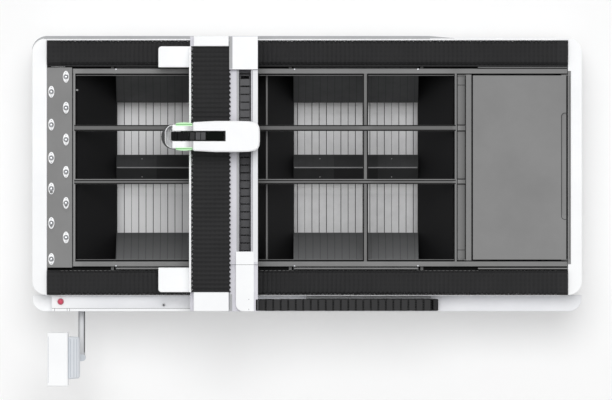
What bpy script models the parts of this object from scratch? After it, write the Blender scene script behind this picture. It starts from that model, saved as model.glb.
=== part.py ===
"""Fiber laser cutting machine with an open support frame, a travelling gantry and a swing-arm console."""
import math

import bmesh
import bpy
from mathutils import Vector

# Joins and thin clearances
GAP = 0.0003
SLIDE_GAP = 0.0005
LAP = 0.0040
SHEET = 0.0040
PLATE = 0.0100
CUT_OVER = 0.0200
EDGE_RADIUS = 0.0050
SMALL_RADIUS = 0.0015

# Deck outline, in plan, from the machine's centre line
HALF_LENGTH = 2.3100
HALF_WIDTH = 1.0710
DECK_FRONT = HALF_WIDTH
DECK_BACK_OUT = 0.0130
DECK_BACK = HALF_WIDTH + DECK_BACK_OUT
TRIM_BACK_OUT = 0.0340
TRIM_BACK = HALF_WIDTH + TRIM_BACK_OUT
CORNER_RADIUS = 0.1150
LEFT_CAP_INNER_IN = 0.1260
LEFT_CAP_INNER = HALF_LENGTH - LEFT_CAP_INNER_IN
RIGHT_CAP_INNER_IN = 0.1180
RIGHT_CAP_INNER = HALF_LENGTH - RIGHT_CAP_INNER_IN
DECK_TOP = 0.9000
BODY_BOTTOM = 0.0900
TRIM_LOW = 0.7900
TRIM_HIGH = 0.8700
TRIM_END_IN = 1.2800
TRIM_END = HALF_LENGTH - TRIM_END_IN
TRIM_TIP_IN = 1.0700
TRIM_TIP = HALF_LENGTH - TRIM_TIP_IN
TRIM_TIP_THICK = 0.0020
CORNER_STEPS = 8

# Bed frame
GIRDER_INNER_IN = 0.2210
GIRDER_INNER = HALF_WIDTH - GIRDER_INNER_IN
GIRDER_OUTER_IN = 0.0110
GIRDER_OUTER = HALF_WIDTH - GIRDER_OUTER_IN
GIRDER_TOP = 0.8000
GIRDER_WALL = 0.0180
GIRDER_TUNNEL_LOW = 0.4000
WALL_THICK = 0.0120
LEFT_WALL_X_IN = 0.3550
LEFT_WALL_X = LEFT_WALL_X_IN - HALF_LENGTH
MIDDLE_WALL_X = -0.3380
RIGHT_WALL_X_IN = 0.9510
RIGHT_WALL_X = HALF_LENGTH - RIGHT_WALL_X_IN
RIGHT_WALL_THICK = 0.0440
WALL_TOP = 0.7900
MIDDLE_WALL_TOP = 0.7300
HATCH_SEAT_TOP = 0.8680
LIP_X0_IN = 1.0420
LIP_X0 = HALF_LENGTH - LIP_X0_IN
LIP_X1_IN = 0.9910
LIP_X1 = HALF_LENGTH - LIP_X1_IN
LIP_TOP = 0.8400
LIP_DEPTH = 0.0440
TABLE_SEAT_DEPTH = 0.0600
TABLE_SEAT_HALF_IN = 0.2910
TABLE_SEAT_HALF = HALF_WIDTH - TABLE_SEAT_HALF_IN
END_WALL_THICK = 0.0200
FOOT_RADIUS = 0.0550
FOOT_HEIGHT = 0.0140
FOOT_STEM_RADIUS = 0.0180
FOOT_INSET_Y_IN = 0.1160
FOOT_INSET_Y = HALF_WIDTH - FOOT_INSET_Y_IN
FOOT_END_LEFT = 0.2600
FOOT_END_RIGHT = 0.2500
FOOT_MIDDLE_LEFT = -0.6500
FOOT_MIDDLE_RIGHT = 0.7500
FOOT_XS = (FOOT_END_LEFT - HALF_LENGTH, FOOT_MIDDLE_LEFT, FOOT_MIDDLE_RIGHT, HALF_LENGTH - FOOT_END_RIGHT)
DRAWER_STOP = 0.0200
DRAWER_STOP_TOP = 0.1500

# Hoppers: upper and lower edges along the length
HOPPER_LEFT_END = 0.3740
HOPPER_LEFT_FLOOR = 0.7030
HOPPER_RIGHT_FLOOR = 1.3730
HOPPER_RIGHT_END = 1.0800
HOPPER_X = {
    "left": (HOPPER_LEFT_END - HALF_LENGTH, HOPPER_LEFT_FLOOR - HALF_LENGTH, -0.5590, -0.3510),
    "right": (-0.3250, -0.1130, HALF_LENGTH - HOPPER_RIGHT_FLOOR, HALF_LENGTH - HOPPER_RIGHT_END),
}
HOPPER_END_TOP = {"left": (0.7800, 0.7000), "right": (0.7000, 0.7800)}
HOPPER_BOTTOM = 0.3560
HOPPER_HALF_TOP_IN = 0.2990
HOPPER_HALF_TOP = HALF_WIDTH - HOPPER_HALF_TOP_IN
HOPPER_HALF_BOTTOM_IN = 0.5210
HOPPER_HALF_BOTTOM = HALF_WIDTH - HOPPER_HALF_BOTTOM_IN
RIDGE_HALF = 0.1050
RIDGE_TOP = 0.5000
HOPPER_FLANGE_IN = 0.2110
HOPPER_FLANGE = HALF_WIDTH - HOPPER_FLANGE_IN
HOPPER_FLANGE_Z = 0.8043

# Slag drawers
DRAWER_LOW = 0.1026
DRAWER_HIGH = 0.3350
DRAWER_MARGIN = 0.0300
DRAWER_INNER_Y = 0.0210
PLANK_PITCH = 0.0612
PLANK_GROOVE = 0.0070
PLANK_DEPTH = 0.0030
DRAWER_FLOOR = 0.0060
DRAWER_FRONT_THICK = 0.0120
DRAWER_FRONT_OVER = 0.0250
GRIP_SLOT_LENGTH = 0.2600
GRIP_SLOT_HIGH = 0.0360
GRIP_SLOT_MARGIN = 0.0350
WINDOW_CLEAR = 0.0080

# Support frame
FRAME_TOP = 0.8700
FRAME_LOW = 0.8100
RAIL_Y_IN = 0.2610
RAIL_Y = HALF_WIDTH - RAIL_Y_IN
RAIL_WIDTH = 0.0400
FRAME_LEFT_IN = 0.3440
FRAME_LEFT = FRAME_LEFT_IN - HALF_LENGTH
FRAME_RIGHT_IN = 0.1220
FRAME_RIGHT = HALF_LENGTH - FRAME_RIGHT_IN
MEMBER_YS = (0.3320, -0.1180)
MEMBER_WIDTHS = (0.0500, 0.0420)
CROSS_END_LEFT = 0.3540
CROSS_END_RIGHT = 1.0610
CROSS_XS = (CROSS_END_LEFT - HALF_LENGTH, -0.7350, 0.4910, HALF_LENGTH - CROSS_END_RIGHT)
CROSS_WIDTHS = (0.0200, 0.0340, 0.0340, 0.0220)
PAD_END_LEFT = 0.6750
PAD_END_RIGHT = 1.3450
PAD_XS = (PAD_END_LEFT - HALF_LENGTH, -0.1400, HALF_LENGTH - PAD_END_RIGHT)
PAD_WIDTH = 0.0240
PAD_REACH_IN = 0.2110
PAD_REACH = HALF_WIDTH - PAD_REACH_IN
PAD_THICK = 0.0090
POST_WIDTH = 0.0300
TAB_XS_LENGTH = 0.0330
TAB_OUTER_IN = 0.4200
TAB_YS = (HALF_WIDTH - TAB_OUTER_IN, 0.3420)
TAB_WIDTH = 0.0140

# Ball table
TABLE_LEFT_IN = 0.1270
TABLE_LEFT = TABLE_LEFT_IN - HALF_LENGTH
TABLE_RIGHT_IN = 0.3360
TABLE_RIGHT = TABLE_RIGHT_IN - HALF_LENGTH
TABLE_HALF_Y_IN = 0.2310
TABLE_HALF_Y = HALF_WIDTH - TABLE_HALF_Y_IN
TABLE_TOP = 0.8880
BALL_RIGHT_X_IN = 0.2860
BALL_RIGHT_X = BALL_RIGHT_X_IN - HALF_LENGTH
BALL_RIGHT_Y0_IN = 0.3080
BALL_RIGHT_Y0 = HALF_WIDTH - BALL_RIGHT_Y0_IN
BALL_RIGHT_SHARE = 0.252101
BALL_RIGHT_STEP = HALF_WIDTH * BALL_RIGHT_SHARE
BALL_LEFT_X_IN = 0.1620
BALL_LEFT_X = BALL_LEFT_X_IN - HALF_LENGTH
BALL_LEFT_Y0_IN = 0.4340
BALL_LEFT_Y0 = HALF_WIDTH - BALL_LEFT_Y0_IN
BALL_LEFT_SHARE = 0.262372
BALL_LEFT_STEP = HALF_WIDTH * BALL_LEFT_SHARE
BALL_COUNT = 6
BALL_FLANGE_HALF_X = 0.0260
BALL_FLANGE_HALF_Y = 0.0500
BALL_FLANGE_THICK = 0.0040
BALL_RADIUS = 0.0150
BALL_SIDES = 10

# Hatch
HATCH_X0_IN = 0.9160
HATCH_X0 = HALF_LENGTH - HATCH_X0_IN
HATCH_X1_IN = 0.1320
HATCH_X1 = HALF_LENGTH - HATCH_X1_IN
HATCH_HALF_Y_IN = 0.2980
HATCH_HALF_Y = HALF_WIDTH - HATCH_HALF_Y_IN
HATCH_TOP = 0.8860
GRIP_DEPTH = 0.0420
GRIP_Y0 = -0.4030
GRIP_Y1 = 0.4540
GRIP_FLOOR = 0.0080

# Rear and front sheet work
PANEL_THICK = 0.0110
REAR_UPPER_INNER_IN = 0.0020
REAR_UPPER_INNER = HALF_WIDTH - REAR_UPPER_INNER_IN
SHELF_BACK_OUT = 0.0003
SHELF_BACK = HALF_WIDTH + SHELF_BACK_OUT
SHELF_FRONT_OUT = 0.1390
SHELF_FRONT = HALF_WIDTH + SHELF_FRONT_OUT
SHELF_TOP = 0.7000
SHELF_DROP = 0.0450
UPSTAND_THICK = 0.0030
UPSTAND_TOP = 0.8600
SHELF_CORNER = 0.1050

# Control box on the shelf
BOX_X0_IN = 0.1630
BOX_X0 = BOX_X0_IN - HALF_LENGTH
BOX_X1 = -0.4300
BOX_Y0_OUT = 0.1370
BOX_Y0 = -HALF_WIDTH - BOX_Y0_OUT
BOX_Y1_OUT = 0.0050
BOX_Y1 = -HALF_WIDTH - BOX_Y1_OUT
BOX_TOP = 0.8100
STOP_X_IN = 0.2390
STOP_X = STOP_X_IN - HALF_LENGTH
STOP_Y_OUT = 0.0560
STOP_Y = -HALF_WIDTH - STOP_Y_OUT
STOP_COLLAR = 0.0210
STOP_COLLAR_HIGH = 0.0050
STOP_STEM = 0.0100
STOP_HEAD = 0.0270
STOP_HEAD_HIGH = 0.0180
STOP_TRAVEL = 0.0040
STOP_HOLE_DEPTH = 0.0300
KEY_X = -1.2040
KEY_Y_OUT = 0.0850
KEY_Y = -HALF_WIDTH - KEY_Y_OUT
KEY_RADIUS = 0.0135
KEY_HIGH = 0.0060
KEY_STEM = 0.0080
KEY_BOW = 0.0180
KEY_BOW_THICK = 0.0040
KEY_BOW_HIGH = 0.0200

# Rails along the length
X_RAIL_Y_IN = 0.1360
X_RAIL_Y = HALF_WIDTH - X_RAIL_Y_IN
X_RAIL_HALF = 0.0175
X_RAIL_HIGH = 0.0280
RACK_Y_IN = 0.0490
RACK_Y = HALF_WIDTH - RACK_Y_IN
RACK_HALF = 0.0120
RACK_HIGH = 0.0260

# Bellows over the long rails
LONG_FOLD = 0.0520
LONG_FOLD_DEPTH = 0.0090
LONG_INNER_Y_IN = 0.2060
LONG_INNER_Y = HALF_WIDTH - LONG_INNER_Y_IN
LONG_OUTER_Y_IN = 0.0040
LONG_OUTER_Y = HALF_WIDTH - LONG_OUTER_Y_IN
LONG_LOW = 0.8050
LONG_HIGH = 0.9300
LONG_WALL = 0.0130
LONG_FLAT = 0.0900

# Gantry
GANTRY_LEFT = -0.9700
GANTRY_RIGHT = -0.4120
GANTRY_BACK_OUT = 0.0290
GANTRY_BACK = HALF_WIDTH + GANTRY_BACK_OUT
GANTRY_FRONT_OUT = 0.1340
GANTRY_FRONT = -HALF_WIDTH - GANTRY_FRONT_OUT
BEAM_X0 = -0.9600
BEAM_X1 = -0.6600
BEAM_Y0_IN = 0.0260
BEAM_Y0 = BEAM_Y0_IN - HALF_WIDTH
BEAM_Y1_IN = 0.0560
BEAM_Y1 = HALF_WIDTH - BEAM_Y1_IN
BEAM_LOW = 1.0000
BEAM_HIGH = 1.2000
BEAM_WALL = 0.0140
LIP_LEFT = -0.9870
Y_RAIL_XS = (-0.9250, -0.7900)
Y_RAIL_HALF = 0.0120
Y_RAIL_HIGH = 0.0240
Y_RACK_X = -0.6830
Y_RACK_HALF = 0.0100
SADDLE_Y0_IN = 0.2090
SADDLE_Y0 = HALF_WIDTH - SADDLE_Y0_IN
SADDLE_Y1_IN = 0.0150
SADDLE_Y1 = HALF_WIDTH - SADDLE_Y1_IN
SADDLE_LOW = 0.8500
SADDLE_PLATE = 0.0250
SADDLE_WALL = 0.0140
SADDLE_RELIEF = 0.0450
BLOCK_HALF_X = 0.0340
BLOCK_XS = (-0.8900, -0.4480)
SHAFT_HOLE = 0.0280

# Folded cover over the beam
BEAM_FOLD = 0.0377
BEAM_FOLD_DEPTH = 0.0070
FOLD_X0 = -0.9700
FOLD_X1 = -0.6510
FOLD_LOW = 1.2030
FOLD_HIGH = 1.2760
FOLD_WALL = 0.0110

# White covers of the gantry ends
END_X0 = -0.9490
END_X1 = -0.6550
END_TOP = 1.3000
END_WALL = 0.0050
COVER_X0 = -1.2470
COVER_Y0_IN = 0.2310
COVER_Y0 = HALF_WIDTH - COVER_Y0_IN
COVER_Y1_REAR_IN = 0.0550
COVER_Y1_REAR = HALF_WIDTH - COVER_Y1_REAR_IN
COVER_Y1_FRONT_IN = 0.0250
COVER_Y1_FRONT = HALF_WIDTH - COVER_Y1_FRONT_IN
COVER_LOW = 0.9400
COVER_HIGH = 1.0700
COVER_CORNER = 0.0250

# Chain trough beside the beam
TROUGH_X0 = -0.6500
TROUGH_LOW = 1.0600
TROUGH_FLOOR = 0.0080
TROUGH_LEDGE_X = -0.5710
TROUGH_LEDGE_TOP = 1.2500
TROUGH_RIGHT_X = -0.4680
TROUGH_TOP = 1.2740
TROUGH_BACK_Y_IN = 0.2520
TROUGH_BACK_Y = HALF_WIDTH - TROUGH_BACK_Y_IN
TROUGH_BACK_TOP = 1.2900
TROUGH_FRONT_Y_IN = 0.3660
TROUGH_FRONT_Y = TROUGH_FRONT_Y_IN - HALF_WIDTH
DUCT_X0 = -0.5960
DUCT_X1 = -0.4450
DUCT_TOP = 1.2900
DUCT_CORNER = 0.0600

# Drag chains
CHAIN_GROOVE = 0.0050
CHAIN_INSET = 0.0050
Y_CHAIN_PITCH = 0.0653
Y_CHAIN_X0 = -0.5640
Y_CHAIN_X1 = -0.4750
Y_CHAIN_THICK = 0.0480
Y_CHAIN_BEND = 0.0680
Y_CHAIN_FIXED_IN = 0.3710
Y_CHAIN_FIXED = Y_CHAIN_FIXED_IN - HALF_WIDTH
Y_CHAIN_TURN_IN = 0.3710
Y_CHAIN_TURN = HALF_WIDTH - Y_CHAIN_TURN_IN
Y_CHAIN_END = 0.3500
X_CHAIN_PITCH = 0.0638
X_CHAIN_Y0_OUT = 0.1330
X_CHAIN_Y0 = -HALF_WIDTH - X_CHAIN_Y0_OUT
X_CHAIN_Y1_OUT = 0.0330
X_CHAIN_Y1 = -HALF_WIDTH - X_CHAIN_Y1_OUT
X_CHAIN_THICK = 0.0460
X_CHAIN_BEND = 0.0750
X_CHAIN_FIXED = 0.0000
X_CHAIN_TURN = 1.0020
X_CHAIN_END = -0.4300
X_HANGER_THICK = 0.0120
Z_CHAIN_PITCH = 0.0450
Z_CHAIN_Y0 = 0.2260
Z_CHAIN_Y1 = 0.2980
Z_CHAIN_THICK = 0.0240
Z_CHAIN_BEND = 0.0400
Z_CHAIN_X0 = -0.6950
Z_CHAIN_TURN = -1.0850

# Drives
MOTOR_X = -0.5300
MOTOR_HALF = 0.0450
MOTOR_HIGH = 0.1500
MOTOR_FLANGE = 0.0600
MOTOR_SHAFT = 0.0100
PINION_RADIUS = 0.0260
PINION_TEETH = 12
PINION_TOOTH = 0.0060
PINION_HIGH = 0.0240
PINION_DROP = 0.0200
Y_MOTOR_Y = 0.2400
Y_MOTOR_HALF = 0.0350
Y_MOTOR_HIGH = 0.1300

# Carriage
CARRIAGE_Y = 0.2580
CARRIAGE_HALF = 0.1295
PLATE_X0 = -0.9560
PLATE_X1 = -0.6640
PLATE_LOW = 1.2450
PLATE_HIGH = 1.2650
PLATE_HALF_Y = 0.1200
GUIDE_BLOCK_HALF = 0.0220
BACK_PLATE_X0 = -1.0080
BACK_PLATE_X1 = -0.9920
BACK_PLATE_LOW = 1.0400
BACK_PLATE_HIGH = 1.3600
BRIDGE_LOW = 1.2800
BRIDGE_HIGH = 1.2920
Z_CHAIN_RISE = 0.1830
Z_CHAIN_TOP = BRIDGE_HIGH + Z_CHAIN_RISE
CHAIN_ARM_ROOT = 0.0400
COVER_POST = 0.0180
POST_DEPTH = 0.0300
BODY_X0 = -0.9550
BODY_X1 = -0.3950
BODY_LOW = 1.2960
BODY_RISE = 0.2240
BODY_TOP = BODY_LOW + BODY_RISE
BODY_WALL = 0.0050
# Plan of the cover as shares of its length and of its half width
COVER_SHARES = (
    (0.000, 0.925), (0.100, 0.945), (0.220, 0.975), (0.340, 1.000), (0.690, 1.000), (0.840, 0.980), (0.925, 0.915),
    (0.972, 0.790), (0.993, 0.600), (1.000, 0.300),
)
SLOT_X1 = -0.6800
SLOT_Y0 = 0.2180
SLOT_Y1 = 0.3060
HOOD_X0 = -1.1260
HOOD_HALF_Y = 0.1000
HOOD_LOW = 1.1800
HOOD_RISE = 0.3250
HOOD_TOP = HOOD_LOW + HOOD_RISE
SHROUD_X0 = -1.1910
SHROUD_X1 = -1.0300
SHROUD_LOW = 1.0400
SHROUD_NOSE = 0.0700
SHROUD_FLOOR = 0.0080
SKIRT_X = -1.1190
SKIRT_RADIUS = 0.1050
SKIRT_LOW = 1.0050
SKIRT_HIGH = 1.0395
HEAD_HOLE = 0.0640
LIGHT_X0 = -1.1000
LIGHT_X1 = -0.9700
LIGHT_LOW = 1.3000
LIGHT_HIGH = 1.3300
LIGHT_OUT = 0.0120
Z_MOTOR_HALF = 0.0300
Z_MOTOR_HIGH = 0.0950
SCREW_X = -1.0270
SCREW_RADIUS = 0.0080
SCREW_COLLAR = 0.0130
SCREW_COLLAR_HIGH = 0.0200

# Cutting head
HEAD_X = -1.0960
HEAD_RADIUS = 0.0330
HEAD_LOW = 1.0200
HEAD_HIGH = 1.3300
HEAD_BOX_HALF = 0.0360
HEAD_BOX_LOW = 1.1400
HEAD_BOX_HIGH = 1.2600
HEAD_COLLAR_RADIUS = 0.0380
SLIDE_X0 = -1.0580
SLIDE_X1 = -1.0440
SLIDE_HALF_Y = 0.0600
Z_RAIL_Y = 0.0450
Z_RAIL_HALF = 0.0080
NOZZLE_TOP_RADIUS = 0.0200
NOZZLE_TIP_RADIUS = 0.0050
NOZZLE_TIP = 0.9500
NOZZLE_NECK = 0.9900

# Console
ARM_X_IN = 0.4190
ARM_X = ARM_X_IN - HALF_LENGTH
ARM_HALF = 0.0310
ARM_PIVOT_Y_OUT = 0.0640
ARM_PIVOT_Y = -HALF_WIDTH - ARM_PIVOT_Y_OUT
ARM_LOW = 0.5600
ARM_HIGH = 0.6200
ARM_KNUCKLE = 0.0420
ARM_WALL = 0.0040
POST_X_IN = 0.4260
POST_X = POST_X_IN - HALF_LENGTH
POST_Y_OUT = 0.5250
POST_Y = -HALF_WIDTH - POST_Y_OUT
POST_RADIUS = 0.0210
POST_TOP = 1.0000
POST_COLLAR = 0.0300
POST_COLLAR_HIGH = 0.0120
BRACKET_LOW = 0.5100
BRACKET_HIGH = 0.6400
BRACKET_PLATE = 0.0120
PIN_RADIUS = 0.0120
HOUSING_X0_IN = 0.1340
HOUSING_X0 = HOUSING_X0_IN - HALF_LENGTH
HOUSING_X1_IN = 0.3110
HOUSING_X1 = HOUSING_X1_IN - HALF_LENGTH
HOUSING_Y0_OUT = 0.7620
HOUSING_Y0 = -HALF_WIDTH - HOUSING_Y0_OUT
HOUSING_Y1_OUT = 0.3110
HOUSING_Y1 = -HALF_WIDTH - HOUSING_Y1_OUT
HOUSING_LOW = 1.0400
HOUSING_TOP = 1.4800
HOUSING_EDGE = 0.0100
SHELL_X1_IN = 0.4070
SHELL_X1 = SHELL_X1_IN - HALF_LENGTH
SHELL_Y0_OUT = 0.7020
SHELL_Y0 = -HALF_WIDTH - SHELL_Y0_OUT
SHELL_Y1_OUT = 0.3440
SHELL_Y1 = -HALF_WIDTH - SHELL_Y1_OUT
SHELL_TAPER = 0.0080
SHELL_LOW = 1.0700
SHELL_TOP = 1.4500
NECK_X1_IN = 0.4510
NECK_X1 = NECK_X1_IN - HALF_LENGTH
NECK_HALF_Y = 0.0280
NECK_HIGH = 0.0700
SCREEN_MARGIN = 0.0300
SCREEN_LOW = 1.1700
SCREEN_HIGH = 1.4500
SCREEN_THICK = 0.0060
SCREEN_SINK = 0.0080
SCREEN_SEAT = 0.0020

# Chain runs, at the middle of the links
Y_CHAIN_LOW = TROUGH_LOW + TROUGH_FLOOR + GAP + Y_CHAIN_THICK / 2
Y_CHAIN_HIGH = Y_CHAIN_LOW + 2 * Y_CHAIN_BEND
X_CHAIN_LOW = SHELF_TOP + GAP + X_CHAIN_THICK / 2
X_CHAIN_HIGH = X_CHAIN_LOW + 2 * X_CHAIN_BEND

# Motor axes, in mesh with their racks
MOTOR_Y = RACK_Y - RACK_HALF - GAP - PINION_RADIUS
Y_MOTOR_X = Y_RACK_X - Y_RACK_HALF - GAP - PINION_RADIUS

# The hatch turns about a pin at half its thickness
HATCH_PIN_Z = (HATCH_SEAT_TOP + GAP + HATCH_TOP) / 2

# How far the footprint's middle lies from the machine's centre line
MIDDLE_Y = (TRIM_BACK + HOUSING_Y0) / 2

FINISHES = {
    "white_paint": ((0.86, 0.87, 0.88), 0.38, 0.0),
    "grey_paint": ((0.26, 0.26, 0.26), 0.45, 0.1),
    "trim_grey": ((0.38, 0.38, 0.39), 0.42, 0.1),
    "hopper_steel": ((0.035, 0.035, 0.037), 0.40, 0.35),
    "drawer_steel": ((0.46, 0.46, 0.46), 0.42, 0.45),
    "frame_grey": ((0.24, 0.24, 0.24), 0.45, 0.2),
    "folded_cloth": ((0.028, 0.028, 0.030), 0.62, 0.0),
    "black_plastic": ((0.055, 0.055, 0.055), 0.50, 0.0),
    "ground_steel": ((0.55, 0.56, 0.58), 0.28, 1.0),
    "motor_black": ((0.030, 0.030, 0.032), 0.42, 0.0),
    "head_grey": ((0.20, 0.20, 0.21), 0.35, 0.6),
    "copper": ((0.72, 0.38, 0.22), 0.30, 1.0),
    "light_green": ((0.33, 0.72, 0.33), 0.30, 0.0),
    "red_plastic": ((0.70, 0.03, 0.06), 0.35, 0.0),
    "blue_grey_plastic": ((0.62, 0.66, 0.71), 0.45, 0.0),
    "dark_glass": ((0.012, 0.013, 0.016), 0.10, 0.0),
}


def clear_scene():
    """Empty the scene of all objects."""
    for item in list(bpy.data.objects):
        bpy.data.objects.remove(item, do_unlink=True)


def finish(name):
    """The Principled material of the named finish."""
    found = bpy.data.materials.get(name)
    if found:
        return found
    colour, roughness, metallic = FINISHES[name]
    material = bpy.data.materials.new(name)
    material.use_nodes = True
    shader = material.node_tree.nodes["Principled BSDF"]
    shader.inputs["Base Color"].default_value = (*colour, 1.0)
    shader.inputs["Roughness"].default_value = roughness
    shader.inputs["Metallic"].default_value = metallic
    material.diffuse_color = (*colour, 1.0)
    return material


class Workshop:
    """Collections and the datum that every piece hangs from."""

    def __init__(self):
        scene = bpy.context.scene.collection
        self.parts = bpy.data.collections.new("laser_cutting_machine")
        self.cutters = bpy.data.collections.new("cutters")
        scene.children.link(self.parts)
        scene.children.link(self.cutters)
        self.datum = self.empty("machine_datum", Vector((0, 0, 0)), None)
        self.datum.location = (0, -MIDDLE_Y, 0)
        self.origins = {self.datum.name: Vector((0, 0, 0))}

    def empty(self, name, at, parent):
        """An empty at a point of the machine's frame."""
        item = bpy.data.objects.new(name, None)
        self.parts.objects.link(item)
        if parent:
            self.hang(item, at, parent)
        return item

    def hang(self, item, at, parent):
        """Parent an object and put its origin at a point of the machine's frame."""
        item.parent = parent
        item.location = at - self.origins[parent.name]
        self.origins[item.name] = at

    def piece(self, name, mesh, surface, at=None, parent=None, smooth=False):
        """A named object from a mesh in the machine's frame, with its origin at a point."""
        at = at or Vector((0, 0, 0))
        parent = parent or self.datum
        data = bpy.data.meshes.new(name)
        bmesh.ops.translate(mesh, verts=mesh.verts, vec=-at)
        bmesh.ops.recalc_face_normals(mesh, faces=mesh.faces)
        mesh.to_mesh(data)
        mesh.free()
        data.materials.append(finish(surface))
        item = bpy.data.objects.new(name, data)
        self.parts.objects.link(item)
        self.hang(item, at, parent)
        if smooth:
            data.shade_smooth()
        return item

    def cutter(self, target, mesh, operation):
        """Apply a hidden mesh to an object as a Boolean."""
        name = f"{target.name}_{operation.lower()}_{len(target.modifiers)}"
        data = bpy.data.meshes.new(name)
        at = self.origins[target.name]
        bmesh.ops.translate(mesh, verts=mesh.verts, vec=-at)
        bmesh.ops.recalc_face_normals(mesh, faces=mesh.faces)
        mesh.to_mesh(data)
        mesh.free()
        item = bpy.data.objects.new(name, data)
        self.cutters.objects.link(item)
        item.parent = target
        item.hide_render = True
        item.display_type = "WIRE"
        step = target.modifiers.new(operation.title(), "BOOLEAN")
        step.operation = operation
        step.object = item
        step.solver = "EXACT"
        step.use_self = True
        return item


def boxes(*spans):
    """A mesh with one box for each span of x, y and z limits."""
    mesh = bmesh.new()
    for x0, x1, y0, y1, z0, z1 in spans:
        made = bmesh.ops.create_cube(mesh, size=1.0)["verts"]
        size = Vector((abs(x1 - x0), abs(y1 - y0), abs(z1 - z0)))
        centre = Vector((x0 + x1, y0 + y1, z0 + z1)) / 2
        bmesh.ops.scale(mesh, vec=size, verts=made)
        bmesh.ops.translate(mesh, vec=centre, verts=made)
    return mesh


def add_cylinder(mesh, x, y, z0, z1, radius, top_radius=None, sides=16):
    """Add an upright cylinder or cone to a mesh."""
    top_radius = radius if top_radius is None else top_radius
    made = bmesh.ops.create_cone(
        mesh, cap_ends=True, segments=sides, radius1=radius, radius2=top_radius, depth=z1 - z0
    )["verts"]
    bmesh.ops.translate(mesh, vec=Vector((x, y, (z0 + z1) / 2)), verts=made)
    return mesh


def prism(outline, z0, z1):
    """An upright prism over a plan outline."""
    mesh = bmesh.new()
    low = [mesh.verts.new((x, y, z0)) for x, y in outline]
    high = [mesh.verts.new((x, y, z1)) for x, y in outline]
    mesh.faces.new(low[::-1])
    mesh.faces.new(high)
    for i, vert in enumerate(low):
        j = (i + 1) % len(low)
        mesh.faces.new((vert, low[j], high[j], high[i]))
    return mesh


def arc(centre_x, centre_y, radius, start, turn, steps):
    """Points of an arc, angles in degrees."""
    points = []
    for i in range(steps + 1):
        angle = math.radians(start + turn * i / steps)
        points.append((centre_x + radius * math.cos(angle), centre_y + radius * math.sin(angle)))
    return points


def round_box_outline(x0, x1, y0, y1, radii, steps=CORNER_STEPS):
    """Counter-clockwise rectangle with a radius for each corner: -x-y, +x-y, +x+y, -x+y."""
    corners = ((x0, y0, 180, 1, 1), (x1, y0, 270, -1, 1), (x1, y1, 0, -1, -1), (x0, y1, 90, 1, -1))
    points = []
    for (x, y, start, in_x, in_y), radius in zip(corners, radii):
        if radius:
            points += arc(x + in_x * radius, y + in_y * radius, radius, start, 90, steps)
        else:
            points.append((x, y))
    return points


def soften(item, width=EDGE_RADIUS, segments=1, angle=50):
    """Bevel the sharp edges of an object."""
    step = item.modifiers.new("Bevel", "BEVEL")
    step.width = width
    step.segments = segments
    step.limit_method = "ANGLE"
    step.angle_limit = math.radians(angle)
    return item


def mirrored(side, y0, y1):
    """A y range on the rear (+1) or front (-1) side."""
    return (y0, y1) if side > 0 else (-y1, -y0)


def drawer_span(bay):
    """Drawer limits along the length for a hopper bay."""
    edges = HOPPER_X[bay]
    return edges[1] - DRAWER_MARGIN, edges[2] + DRAWER_MARGIN


def window_spans(y0, y1):
    """Openings for the drawers through a wall between two y limits."""
    spans = []
    for bay in HOPPER_X:
        x0, x1 = drawer_span(bay)
        spans.append(
            (x0 - WINDOW_CLEAR, x1 + WINDOW_CLEAR, y0, y1, DRAWER_LOW - SLIDE_GAP, DRAWER_HIGH + WINDOW_CLEAR)
        )
    return spans


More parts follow.
